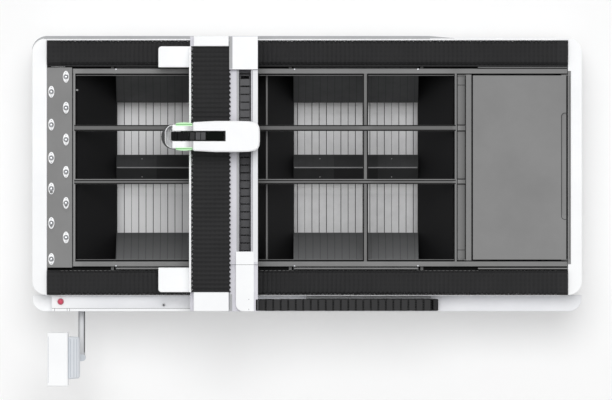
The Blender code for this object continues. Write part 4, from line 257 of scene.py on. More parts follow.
@dataclass(frozen=True)
class ChuteSteel(Finish):
    """Blackened sheet: darker on the end chutes and the ridge, with dark seam lines across the slopes;
    painted shade on the ridge's forward faces and in two zones of it, and painted light rising up the front
    slopes.
    """

    dark_and_shade: str = "#1e1e1f"
    front_light: str = "#7c7d7e"
    ridge_half: float = 0.108
    ridge_soft: float = 0.004
    ridge_dark: float = 0.54
    seam_pitch: float = 0.0612
    seam_start: float = -1.5439
    seam_width: float = 0.006
    seam_dark: float = 0.4
    shade_zones: tuple[Point, ...] = ((0.4116, 0.185), (-1.0900, 0.178))
    shade_zone_dark: float = 0.5

    def extra(self, tree: Tree, shader: Node, place: Socket) -> None:
        """Blend in the dark tone, painted shade and painted light by which way a face looks and where it
        lies.
        """
        geometry = add_node(tree, "NewGeometry")
        normal = add_node(tree, "SeparateXYZ", links={0: geometry.outputs["Normal"]}).outputs
        x, y, z = add_node(tree, "SeparateXYZ", links={0: place}).outputs
        along = add_node(tree, "Math", {"operation": "ABSOLUTE"}, {0: normal[0]})
        ends = add_node(tree, "MapRange", {"From Min": 0.35, "From Max": 0.6}, {"Value": along})
        offset = add_node(tree, "Math", {"operation": "SUBTRACT", 1: MACHINE_Y}, {0: y})
        aside = add_node(tree, "Math", {"operation": "ABSOLUTE"}, {0: offset})
        # Painted light: the front slopes take a paler tone rising with height, as the light from behind falls
        # on them.
        front = add_node(tree, "MapRange", {"From Min": -0.3, "From Max": -0.5}, {"Value": offset})
        climb = add_node(tree, "MapRange", {
            "From Min": 0.36, "From Max": 0.80, "To Min": 0.15, "To Max": 1.0,
        }, {"Value": z})
        slide = add_node(tree, "Math", {"operation": "MULTIPLY"}, {0: front, 1: climb})
        ridge = add_node(tree, "MapRange", {
            "From Min": self.ridge_half, "From Max": self.ridge_half - self.ridge_soft, "To Min": 0.0,
            "To Max": self.ridge_dark,
        }, {"Value": aside})
        # Painted shade: the ridge is darkened more on faces that look forward, away from the light, and more
        # again in two zones along it.
        facing_shade = add_node(tree, "MapRange", {
            "From Min": 0.2, "From Max": -0.2, "To Min": 0.6, "To Max": 1.15,
        }, {"Value": normal[1]})
        for middle, half in self.shade_zones:
            near = add_node(tree, "Math", {"operation": "COMPARE", 1: middle, 2: half}, {0: x})
            facing_shade = add_node(tree, "Math", {"operation": "MULTIPLY_ADD", 1: self.shade_zone_dark},
                               {0: near, 2: facing_shade})
        dark = add_node(tree, "Math", {"operation": "MULTIPLY"}, {0: ridge, 1: facing_shade})
        shifted = add_node(tree, "Math", {"operation": "SUBTRACT", 1: self.seam_start}, {0: x})
        rest = add_node(tree, "Math", {"operation": "FLOORED_MODULO", 1: self.seam_pitch}, {0: shifted})
        seam = add_node(tree, "Math", {"operation": "LESS_THAN", 1: self.seam_width}, {0: rest})
        line = add_node(tree, "Math", {"operation": "MULTIPLY", 1: self.seam_dark}, {0: seam})
        dark_and_shade = add_node(tree, "Math", {"operation": "MAXIMUM"}, {0: ends, 1: dark})
        dark_and_shade = add_node(tree, "Math", {"operation": "MAXIMUM", "use_clamp": True}, {0: dark_and_shade, 1: line})
        self.lay_over(tree, shader, ((slide, self.front_light), (dark_and_shade, self.dark_and_shade)))


@dataclass(frozen=True)
class GradedFinish(Finish):
    """Finish with soft bands of other tones across its upper faces; on the ledge, the hood and the loose
    planks these bands are painted light and shade.

    Each band has the axis it is measured along, its middle and half width in metres, and its tone.
    """

    bands: tuple[tuple[int, float, float, str], ...] = ()

    def extra(self, tree: Tree, shader: Node, place: Socket) -> None:
        """Blend each tone in, full in the band's middle and gone at its edges."""
        point = add_node(tree, "SeparateXYZ", links={0: place}).outputs
        geometry = add_node(tree, "NewGeometry")
        normal = add_node(tree, "SeparateXYZ", links={0: geometry.outputs["Normal"]}).outputs
        tones = []
        for axis, middle, half, code in self.bands:
            offset = add_node(tree, "Math", {"operation": "SUBTRACT", 1: middle}, {0: point[axis]})
            aside = add_node(tree, "Math", {"operation": "ABSOLUTE"}, {0: offset})
            reach = add_node(tree, "MapRange", {"From Min": half, "From Max": 0.0}, {"Value": aside})
            share = add_node(tree, "Math", {"operation": "MULTIPLY", "use_clamp": True},
                             {0: reach, 1: normal[2]})
            tones.append((share, code))
        self.lay_over(tree, shader, tones)


@dataclass(frozen=True)
class DoorSheet(Finish):
    """Painted sheet with the dark joint line of a service door let into it."""

    half_wide: float = 0.80
    half_high: float = 0.30
    middle_high: float = 0.49
    line: float = 0.0016
    dark: str = "#3a3b3d"

    def extra(self, tree: Tree, shader: Node, place: Socket) -> None:
        """Darken a thin rectangle about the machine's middle line."""
        point = add_node(tree, "SeparateXYZ", links={0: place}).outputs
        reaches = []
        for axis, middle, half in ((1, MACHINE_Y, self.half_wide), (2, self.middle_high, self.half_high)):
            offset = add_node(tree, "Math", {"operation": "SUBTRACT", 1: middle}, {0: point[axis]})
            size = add_node(tree, "Math", {"operation": "ABSOLUTE"}, {0: offset})
            reaches.append(add_node(tree, "Math", {"operation": "SUBTRACT", 1: half}, {0: size}))
        far = add_node(tree, "Math", {"operation": "MAXIMUM"}, {0: reaches[0], 1: reaches[1]})
        on_line = add_node(tree, "Math", {"operation": "COMPARE", 1: 0.0, 2: self.line}, {0: far})
        self.lay_over(tree, shader, [(on_line, self.dark)])


@dataclass(frozen=True)
class LitPlastic(Finish):
    """Diffusing cover with a row of lamps behind it."""

    glow: float = 0.5

    def extra(self, tree: Tree, shader: Node, place: Socket) -> None:
        """Give light off in the cover's own colour."""
        shader.inputs["Emission Color"].default_value = linear(self.colour)
        shader.inputs["Emission Strength"].default_value = self.glow


class Finishes:
    """Every finish on the machine."""

    # Polyester powder on steel: a soft white sheen with orange peel of about 3 mm
    WHITE = Finish("white_powder_coated_steel", "white_paint", Surface.POWDER_COATED, "#fafbfc",
                   "#f4f5f7", 0.4, coat=0.1, grain_mm=3.0, relief_mm=0.04)
    # The front ledge in the same powder, painted a tone greyer as the shade under the deck, with painted
    # light whitening its left end
    LEDGE = GradedFinish("shade_painted_white_powder_coated_ledge", "white_paint", Surface.POWDER_COATED,
                         "#eaebee", "#e0e1e5", 0.44, grain_mm=3.0, relief_mm=0.04,
                         bands=((0, -2.28, 0.68, "#fbfcfd"),))
    # Hood sheet in the same powder, with painted shade greying it toward its joint with the cover
    HOOD = GradedFinish("shade_painted_white_powder_coated_hood", "white_paint", Surface.POWDER_COATED,
                        "#fafbfc", "#f4f5f7", 0.4, coat=0.1, grain_mm=3.0, relief_mm=0.04,
                        bands=((0, -0.980, 0.050, "#b4b4b6"), (0, -0.950, 0.024, "#868688")))
    # End sheets in the same powder, each with a service door's joint line
    DOOR_SHEET = DoorSheet("white_powder_coated_door_sheet", "white_paint", Surface.POWDER_COATED,
                           "#fafbfc", "#f4f5f7", 0.4, coat=0.1, grain_mm=3.0, relief_mm=0.04)
    # Folded chain tray: cool pale grey powder with a lilac cast, painted a tone darker as the shade it lies
    # in below the covers; the same painted shade lies on the end cover returns
    TRAY = Finish("shade_painted_lilac_grey_powder_coated_steel", "white_paint", Surface.POWDER_COATED, "#d6d5dc",
                  "#cccbd3", 0.42, grain_mm=3.0, relief_mm=0.04)
    # Powder in mid grey on the tables: matt, even, hides scratches
    GREY = Finish("grey_powder_coated_steel", "grey_paint", Surface.POWDER_COATED, "#808080", "#787878",
                  0.5, specular=0.4, grain_mm=3.0, relief_mm=0.04)
    # Bent trim strip in warm grey powder: flat and satin; the same grey is painted shade on the tray's end
    # slots and the hood's joint filler
    TRIM = Finish("light_grey_trim_and_painted_shade", "trim_grey", Surface.POWDER_COATED, "#a9aaac",
                  "#9fa0a2", 0.42, grain_mm=3.0, relief_mm=0.03)
    # Welded frame, painted grey after blasting: a little rougher than the panels, paler at its loading end
    FRAME = GradedFinish("grey_painted_welded_steel", "frame_grey", Surface.POWDER_COATED, "#7f7f7f",
                         "#767676", 0.52, specular=0.4, grain_mm=4.0, relief_mm=0.08,
                         bands=((0, -1.956, 0.080, "#8a8a8a"), (0, 1.249, 0.080, "#747474")))
    # Members in a darker coat of the frame's paint, paler where sheets rub the middle one and the stop strip
    MEMBER = GradedFinish("dark_grey_painted_welded_steel", "frame_grey", Surface.POWDER_COATED,
                          "#626262", "#5a5a5a", 0.52, specular=0.35, grain_mm=4.0, relief_mm=0.08,
                          bands=((0, 0.491, 0.080, "#6e6e6e"), (0, 1.270, 0.052, "#808080")))
    # Hot-rolled sheet under the cutting zone: dark blue-grey scale with rolling streaks
    CHUTE = ChuteSteel("blackened_rolled_steel_sheet", "hopper_steel", Surface.ROLLED, "#545556",
                       "#484949", 0.55, metallic=0.2, specular=0.25, grain_mm=6.0, relief_mm=0.1,
                       patch_mm=180.0)
    # Galvanised drawer planks: pale, dulled by dust, with light lengthways streaks
    PLANK = Finish("galvanised_steel_plank", "drawer_steel", Surface.ROLLED, "#d8d8d9", "#cbcbcc", 0.5,
                   metallic=0.15, specular=0.35, grain_mm=5.0, relief_mm=0.05, patch_mm=90.0)
    # The drawers' loose planks: the same sheet a tone darker, with painted light paler on the left and along
    # the shaded rear edge of each bay
    LIGHT_PAINTED_PLANK = GradedFinish("light_painted_galvanised_steel_plank", "drawer_steel", Surface.ROLLED,
                                 "#c8c8c9", "#bebebf", 0.5, metallic=0.15, specular=0.35, grain_mm=5.0,
                                 relief_mm=0.05, patch_mm=90.0,
                                 bands=((0, -1.60, 1.20, "#dcdcdd"), (1, 0.935, 0.110, "#ffffff"),
                                        (1, 0.235, 0.100, "#ffffff")))
    # Rubber sealing strip: black and dry, the dark line of every open joint; the same black is painted shade
    # beside the frame's members, under the planks, round the hatch grip and along the console arm's edges
    RUBBER_AND_SHADE = Finish("black_rubber_and_painted_shade", "black_plastic", Surface.MOULDED, "#131313", "#0f0f0f", 0.7,
                    specular=0.15, grain_mm=2.0, relief_mm=0.03)
    # Cast clamp over the chain's end, painted green-black
    CLAMP = Finish("green_black_painted_casting", "black_plastic", Surface.POWDER_COATED, "#0b0f0d",
                   "#080b09", 0.6, specular=0.04, grain_mm=2.0, relief_mm=0.04)
    # Polyurethane-coated cloth, folded and stitched: nearly black with a dry sheen
    CLOTH = Finish("coated_bellows_cloth", "folded_cloth", Surface.WOVEN, "#252526", "#202021", 0.72,
                   specular=0.18, grain_mm=6.0, relief_mm=0.3, patch_mm=250.0)
    # Glass-filled nylon chain links, moulded: dark grey with a fine dry grain
    NYLON = Finish("moulded_grey_nylon", "black_plastic", Surface.MOULDED, "#525254", "#474749", 0.55,
                   specular=0.25, grain_mm=2.5, relief_mm=0.05)
    # The blacker nylon of the long chain, which carries power
    BLACK_NYLON = Finish("moulded_black_nylon", "black_plastic", Surface.MOULDED, "#222223", "#1c1c1d",
                         0.55, specular=0.25, grain_mm=2.5, relief_mm=0.05)
    # The head's own small chain: painted deep black as the shade of the hood beside it, matt
    SHADED_NYLON = Finish("shade_painted_black_nylon", "black_plastic", Surface.MOULDED, "#141415", "#101011", 0.6,
                         specular=0.08, grain_mm=2.5, relief_mm=0.05)
    # Cable sheaths in the chains: black and smooth
    SHEATH = Finish("black_polyurethane_sheath", "black_plastic", Surface.MOULDED, "#121213", "#0e0e0f",
                    0.45, specular=0.3, grain_mm=2.0, relief_mm=0.02)
    # Folded edge strips in the chutes, galvanised and dusty: the pale lines of the bays
    GALVANISED = Finish("galvanised_steel_edge_strip", "drawer_steel", Surface.ROLLED, "#a9a9aa",
                        "#9b9b9c", 0.55, specular=0.35, grain_mm=5.0, relief_mm=0.03, patch_mm=120.0)
    # Ground bearing steel: bright with fine cross lines
    STEEL = Finish("ground_bearing_steel", "ground_steel", Surface.GROUND, "#b9bbbf", "#a7a9ad", 0.28,
                   metallic=1.0, grain_mm=1.5, relief_mm=0.01)
    # Zinc-plated screws: greyer, a little hazy
    ZINC = Finish("zinc_plated_steel", "ground_steel", Surface.POLISHED, "#9c9da0", "#8a8b8e", 0.34,
                  metallic=1.0, grain_mm=1.5, relief_mm=0.01)
    # Polished balls: mirror bright
    BALL = Finish("polished_chrome_steel", "ground_steel", Surface.POLISHED, "#d8dade", "#cfd1d5", 0.12,
                  metallic=1.0, grain_mm=4.0, relief_mm=0.004)
    # Die-cast motor housings with black enamel
    MOTOR = Finish("black_enamelled_cast_aluminium", "motor_black", Surface.MOULDED, "#29292b",
                   "#212123", 0.4, specular=0.35, grain_mm=3.0, relief_mm=0.06)
    # Anodised head housing: dark satin grey
    HEAD = Finish("dark_anodised_machined_aluminium", "head_grey", Surface.BRUSHED_LENGTHWAYS, "#7b7c7f",
                  "#6d6e71", 0.34, metallic=0.6, grain_mm=1.2, relief_mm=0.02)
    # Tube of the console arm: light grey powder, satin
    ARM = Finish("silver_grey_powder_coated_tube", "white_paint", Surface.POWDER_COATED, "#cccdcf",
                 "#c2c3c6", 0.4, grain_mm=3.0, relief_mm=0.03)
    # Turned copper nozzle with heat tint
    COPPER = Finish("turned_copper", "copper", Surface.GROUND, "#d08a5c", "#a9633e", 0.28, metallic=1.0,
                    grain_mm=1.0, relief_mm=0.01, patch_mm=12.0)
    # The lamps' inner line: acrylic in a deeper green, with the lamps on
    GREEN = LitPlastic("green_acrylic_light_cover", "light_green", Surface.MOULDED, "#66a463", "#5a985a",
                       0.3, grain_mm=2.0, relief_mm=0.01, glow=0.3)
    # The lamp's outer cover: sandblasted acrylic, a milky rim that the green line shines through
    FROSTED_GREEN = LitPlastic("frosted_green_acrylic_light_cover", "light_green", Surface.MOULDED,
                               "#c0e6bc", "#b6deb2", 0.55, grain_mm=1.0, relief_mm=0.02, glow=0.3)
    # Polycarbonate mushroom head: a rosy signal red, satin from use
    RED = Finish("moulded_red_polycarbonate", "red_plastic", Surface.MOULDED, "#bd3a54", "#b0344d", 0.32,
                 coat=0.1, specular=0.3, grain_mm=1.5, relief_mm=0.01, patch_mm=20.0)
    # The button's sunk middle in the same plastic, painted a brighter red as the light on its top
    BRIGHT_RED = Finish("light_painted_red_polycarbonate", "red_plastic", Surface.MOULDED, "#dc4766", "#d03f5d",
                        0.35, specular=0.3, grain_mm=1.5, relief_mm=0.01, patch_mm=20.0)
    # Moulded ABS back shell: pale blue grey, fine spark grain
    ABS = Finish("moulded_blue_grey_abs", "blue_grey_plastic", Surface.MOULDED, "#d8dce1", "#d0d5db", 0.48,
                 specular=0.4, grain_mm=1.5, relief_mm=0.04)
    # Ribs of the same shell, painted a little darker as the shade on them; the housing's joint line takes the
    # same grey
    ABS_RIB = Finish("moulded_grey_abs_rib", "blue_grey_plastic", Surface.MOULDED, "#b4b9c1", "#abb1ba",
                     0.48, specular=0.4, grain_mm=1.5, relief_mm=0.04)
    # Cover glass of the screen: black and mirror flat
    GLASS = Finish("black_cover_glass", "dark_glass", Surface.POLISHED, "#0d0e11", "#101216", 0.06,
                   coat=0.6, grain_mm=40.0, relief_mm=0.002)


def new_piece(name: str, mesh: Mesh, finish: Finish, smooth: float = 0.0) -> Item:
    """A mesh object in the machine's place.

    Args:
        name: Name of the piece.
        mesh: Its mesh, in metres where it stands; it is freed.
        finish: Its finish.
        smooth: Angle in degrees under which edges are shaded smooth, or 0.

    Returns:
        The new object, in the scene.
    """
    bmesh.ops.recalc_face_normals(mesh, faces=mesh.faces)
    data = bpy.data.meshes.new(name)
    mesh.to_mesh(data)
    mesh.free()
    item = bpy.data.objects.new(name, data)
    bpy.context.scene.collection.objects.link(item)
    if smooth:
        data.shade_smooth()
        data.set_sharp_from_angle(angle=math.radians(smooth))
    finish.put_on(item)
    return item


def fit(item: Item, body: str, *nodes: str) -> Item:
    """Let a piece ride on a body, in place of any nodes named, and report it."""
    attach(item, body)
    if nodes:
        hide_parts(*nodes)
    log.info("%s: %d faces, rides on %s", item.name, len(item.data.polygons), body)
    return item


def top_of(item: Item, x: float, y: float) -> tuple[Vector, Vector]:
    """Highest point of a node over a place in plan, and the surface's direction there."""
    mesh = bmesh.new()
    mesh.from_mesh(item.data)
    tree = BVHTree.FromBMesh(mesh)
    mesh.free()
    point, normal, _, _ = tree.ray_cast(Vector((x, y, SKY)), Vector((0, 0, -1)))
    return point, normal


def plates(name: str, body: str, finish: Finish, boxes: Iterable[Box], edge: float = 0.0008) -> Item:
    """Flat strips or plates with broken edges, joined into one piece on a body.

    Args:
        name: Name of the piece.
        body: Body that it rides on.
        finish: Its finish.
        boxes: Box of each plate.
        edge: Width of the broken edges.

    Returns:
        The new object.
    """
    mesh = bmesh.new()
    for box in boxes:
        rounded_box(mesh, box, edge)
    return fit(new_piece(name, mesh, finish), body)


def skin(mesh: Mesh, rings: Sequence[Sequence[Vert]], capped: bool = True) -> None:
    """Faces from ring to ring, and one over each end if it is capped."""
    for one, two in zip(rings, rings[1:]):
        for i in range(len(one)):
            j = (i + 1) % len(one)
            corners = list(dict.fromkeys((one[i], one[j], two[j], two[i])))
            if len(corners) > 2:
                mesh.faces.new(corners)
    if capped:
        mesh.faces.new(rings[0][::-1])
        mesh.faces.new(rings[-1])


def extrude(mesh: Mesh, outline: Sequence[Point], low: float, high: float) -> list[Vert]:
    """Closed prism of an outline in plan between two heights, given back as its vertices."""
    rings = [[mesh.verts.new((x, y, z)) for x, y in outline] for z in (low, high)]
    skin(mesh, rings)
    return rings[0] + rings[1]


def rounded_box(mesh: Mesh, box: Box, edge: float) -> list[Vert]:
    """Box with its edges broken by a width, given back as its vertices."""
    x0, x1, y0, y1, z0, z1 = box
    middle = Matrix.Translation(((x0 + x1) / 2, (y0 + y1) / 2, (z0 + z1) / 2))
    size = Matrix.Diagonal((x1 - x0, y1 - y0, z1 - z0, 1.0))
    before = set(mesh.verts)
    made = bmesh.ops.create_cube(mesh, size=1.0, matrix=middle @ size)
    edges = list({e for v in made["verts"] for e in v.link_edges})
    bmesh.ops.bevel(mesh, geom=edges, offset=edge, segments=1, affect="EDGES", profile=0.5)
    return [v for v in mesh.verts if v not in before]


def arc_points(x: float, y: float, radius: float, start: float, end: float, steps: int) -> list[Point]:
    """Points of an arc in plan, its angles in degrees."""
    turns = [math.radians(start + (end - start) * i / steps) for i in range(steps + 1)]
    return [(x + radius * math.cos(t), y + radius * math.sin(t)) for t in turns]


def turned(mesh: Mesh, profile: Sequence[Point], place: Vector, sides: int) -> None:
    """Turned part about the vertical through a place.

    Args:
        mesh: Mesh that takes it.
        profile: Radius and height pairs, from the bottom to the top.
        place: Point that the heights start from.
        sides: Number of sides.
    """
    turns = [2 * math.pi * i / sides for i in range(sides)]
    rings = []
    for radius, height in profile:
        if radius == 0:
            rings.append([mesh.verts.new(place + Vector((0, 0, height)))] * sides)
            continue
        rings.append([mesh.verts.new(place + Vector((radius * math.cos(t), radius * math.sin(t), height)))
                      for t in turns])
    skin(mesh, rings, capped=False)


@dataclass
class Studio:
    """Pale floor, soft daylight from behind the machine and a camera far above it."""

    lens: float = 900.0
    sensor: float = 36.0
    view_far: float = 400.0
    deck: float = 0.9
    floor_half: float = 60.0
    floor_drop: float = 0.002
    floor_glow: float = 0.3
    floor_far: str = "#f9f9f9"
    sky_light: float = 0.48
    sun_light: float = 1.56
    sun_soft: float = 34.0
    sun_lean: float = 17.0

    def camera(self) -> None:
        """Camera straight above, framing the photograph's width at deck height."""
        data = bpy.data.cameras.new("camera")
        data.lens = self.lens
        data.sensor_width = self.sensor
        data.clip_end = self.view_far
        item = bpy.data.objects.new("camera", data)
        bpy.context.scene.collection.objects.link(item)
        across = IMAGE_WIDTH * PIXEL
        x, y = at_pixel(*IMAGE_MIDDLE)
        item.location = (x, y, self.deck + self.lens / self.sensor * across)
        bpy.context.scene.camera = item

    def floor(self) -> None:
        """White floor that keeps the machine's soft shadow."""
        mesh = bmesh.new()
        bmesh.ops.create_grid(mesh, x_segments=1, y_segments=1, size=self.floor_half,
                              matrix=Matrix.Translation((0, 0, -self.floor_drop)))
        data = bpy.data.meshes.new("floor")
        mesh.to_mesh(data)
        mesh.free()
        item = bpy.data.objects.new("floor", data)
        bpy.context.scene.collection.objects.link(item)
        made = bpy.data.materials.new("painted_floor")
        made.use_nodes = True
        tree = made.node_tree
        tree.nodes.clear()
        paint = add_node(tree, "BsdfDiffuse", {"Color": linear("#ffffff")})
        glow = add_node(tree, "Emission", {"Color": linear(self.floor_far), "Strength": 1.0})
        path = add_node(tree, "LightPath")
        share = add_node(tree, "Math", {"operation": "MULTIPLY", 1: self.floor_glow},
                         {0: path.outputs["Is Camera Ray"]})
        mix = add_node(tree, "MixShader", links={0: share, 1: paint, 2: glow})
        add_node(tree, "OutputMaterial", links={"Surface": mix})
        data.materials.append(made)

    def light(self) -> None:
        """Even sky and one wide, soft sun that leans in from the rear."""
        world = bpy.data.worlds.new("daylight")
        bpy.context.scene.world = world
        world.use_nodes = True
        tree = world.node_tree
        tree.nodes.clear()
        path = add_node(tree, "LightPath")
        seen = path.outputs["Is Camera Ray"]
        for name in ("Is Glossy Ray", "Is Transmission Ray"):
            seen = add_node(tree, "Math", {"operation": "MAXIMUM"}, {0: seen, 1: path.outputs[name]})
        strength = add_node(tree, "MapRange", {"To Min": self.sky_light, "To Max": 1.0}, {"Value": seen})
        sky = add_node(tree, "Background", {"Color": linear("#ffffff")}, {"Strength": strength})
        add_node(tree, "OutputWorld", links={"Surface": sky})
        data = bpy.data.lights.new("sun", "SUN")
        data.energy = self.sun_light
        data.angle = math.radians(self.sun_soft)
        item = bpy.data.objects.new("sun", data)
        item.rotation_euler = (-math.radians(self.sun_lean), 0, 0)
        bpy.context.scene.collection.objects.link(item)

    def build(self) -> None:
        """Set the view and the light up."""
        bpy.context.scene.view_settings.view_transform = "Standard"
        self.camera()
        self.floor()
        self.light()


@dataclass
class SheetWork:
    """Painted sheet work and machined parts that keep the frame's own shape."""

    def finishes(self) -> dict[str, Finish]:
        """Finish of each node that is shown as it is."""
        by_finish = {
            Finishes.WHITE: (
                "rear_panel front_panel end_cover_rear end_cover_front saddle_cover_rear saddle_cover_front "
                "chain_duct_cover carriage_cover gantry_beam console_housing arm_bracket"
            ),
            Finishes.DOOR_SHEET: "left_cap right_cap",
            Finishes.HOOD: "head_cover",
            Finishes.LEDGE: "front_shelf control_box",
            Finishes.TRAY: "chain_trough",
            Finishes.GREY: "hatch ball_table",
            Finishes.FRAME: "bed_frame support_frame",
            Finishes.TRIM: "rear_trim",
            Finishes.CHUTE: "hopper_left hopper_right",
            Finishes.PLANK: "drawer_rear_left drawer_front_left drawer_rear_right drawer_front_right",
            Finishes.STEEL: "x_rail_rear x_rail_front x_pinion_rear x_pinion_front y_pinion z_screw",
            Finishes.HEAD: "saddle_rear saddle_front carriage_plate cutting_head",
            Finishes.MOTOR: "x_motor_rear x_motor_front y_motor z_motor head_skirt key_switch",
            Finishes.GREEN: "light_strip_rear light_strip_front",
            Finishes.RED: "emergency_stop",
            Finishes.COPPER: "nozzle",
            Finishes.GLASS: "console_screen",
            Finishes.ABS: "console_rear_shell",
        }
        return {node: finish for finish, names in by_finish.items() for node in names.split()}

    def build(self, nodes: dict[str, Item]) -> None:
        """Dress the nodes."""
        for name, finish in self.finishes().items():
            finish.put_on(nodes[name])
            log.info("%s: %s", name, finish.name)


@dataclass
class Sliding:
    """Cover or chain between two bodies, one of which slides along X or Y."""

    node: str
    fixed_body: str
    moving_body: str
    along_x: bool

    def at(self, along: float, across: float, up: float) -> Vector:
        """Point or direction given along, across and up."""
        return Vector((along, across, up) if self.along_x else (across, along, up))

    def sides(self) -> Point:
        """Low and high side of the node across its slide."""
        low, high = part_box(self.node)
        side = 1 if self.along_x else 0
        return low[side], high[side]

    def carry(self, item: Item, start: float, end: float) -> None:
        """Stand a piece in for the node: hide the node, fix the piece where it stands and report it."""
        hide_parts(self.node)
        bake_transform(item)
        log.info("%s: %d faces between %s and %s", item.name, len(item.data.polygons), self.fixed_body,
                 self.moving_body)


@dataclass
class Bellows(Sliding):
    """Folded cloth cover over a slide."""

    moving_end_high: bool
    fold: float
    depth_low: float
    depth_high: float
    depth_top: float
    corner: float
    flat: float
    over: float = 0.0
    over_foot: float = 0.0
    cloth: float = 0.0014
    wave: tuple[Point, ...] = ((0.0, 0.0), (0.1, 0.0), (0.48, 1.0), (0.56, 1.0))
    shares: tuple[float, ...] = (0.0, 0.03, 0.1, 0.22, 0.36, 0.5, 0.64, 0.78, 0.9, 0.97, 1.0)
    halvings: int = 40

    def section(self, sunk: float, layer: float, over: float) -> list[Point]:
        """Hood-shaped section, open below, as places across and up.

        Args:
            sunk: Share of a fold's depth, from 0 at its crest to 1.
            layer: Distance inside the outer skin.
            over: Reach past the node's high side.

        Returns:
            Six points from one foot over the top to the other.
        """
        low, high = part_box(self.node)
        a, b = self.sides()
        a += sunk * self.depth_low + layer
        b += over - sunk * self.depth_high - layer
        top = high.z - sunk * self.depth_top - layer
        cut = self.corner
        foot = self.over_foot if over else low.z
        return [(a, low.z), (a, top - cut), (a + cut, top), (b - cut, top), (b, top - cut), (b, foot)]

    def strip(self, name: str, stations: Sequence[Point], over: float) -> Item:
        """Thin closed sheet through the stations.

        Args:
            name: Name of the piece.
            stations: Place along and share of the fold's depth of each.
            over: Reach past the node's high side.

        Returns:
            The new object.
        """
        mesh = bmesh.new()
        rings = []
        for along, sunk in stations:
            outline = self.section(sunk, 0.0, over) + self.section(sunk, self.cloth, over)[::-1]
            rings.append([mesh.verts.new(self.at(along, across, up)) for across, up in outline])
        skin(mesh, rings, capped=False)
        for ring in (rings[0], rings[-1]):
            for i in range(len(ring) // 2 - 1):
                mesh.faces.new((ring[i], ring[-1 - i], ring[-2 - i], ring[i + 1]))
        return new_piece(name, mesh, Finishes.CLOTH)

    def frame(self, name: str, start: float, end: float, body: str) -> None:
        """Stiff end frame of the cover."""
        fit(self.strip(name, [(start, 0.0), (end, 0.0)], 0.0), body, self.node)

    def reach(self, share: float) -> float:
        """Place on a smooth step, from 0 to 1, at which it has the given height."""
        low, high = 0.0, 1.0
        for _ in range(self.halvings):
            middle = (low + high) / 2
            if middle * middle * (3 - 2 * middle) < share:
                low = middle
            else:
                high = middle
        return (low + high) / 2

    def build(self) -> None:
        """Make the frames and the folds, the folds in several lengths."""
        low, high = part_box(self.node)
        axis = 0 if self.along_x else 1
        start, end = (low[axis], high[axis]) if self.moving_end_high else (high[axis], low[axis])
        way = 1.0 if end > start else -1.0
        if self.flat:
            self.frame(f"{self.node}_fixed_frame", start, start + way * self.flat, self.fixed_body)
        lip = self.fold / 2
        self.frame(f"{self.node}_moving_frame", end - way * lip, end, self.moving_body)
        start, end = start + way * self.flat, end - way * lip
        count = max(1, round(abs(end - start) / self.fold))
        step = (end - start) / count
        marks = [round(share * count) for share in self.shares]
        for k, (first, last) in enumerate(zip(marks, marks[1:])):
            if first == last:
                continue
            stations = [(start + step * i + step * part, sunk)
                        for i in range(first, last) for part, sunk in self.wave]
            stations.append((start + step * last, 0.0))
            item = self.strip(f"{self.node}_folds_{k + 1}", stations, self.over)
            t0, t1 = self.reach(first / count), self.reach(last / count)
            spread = step * (last - first) / (t1 - t0)
            origin = start + step * first - t0 * spread
            self.carry(item, origin, origin + spread)


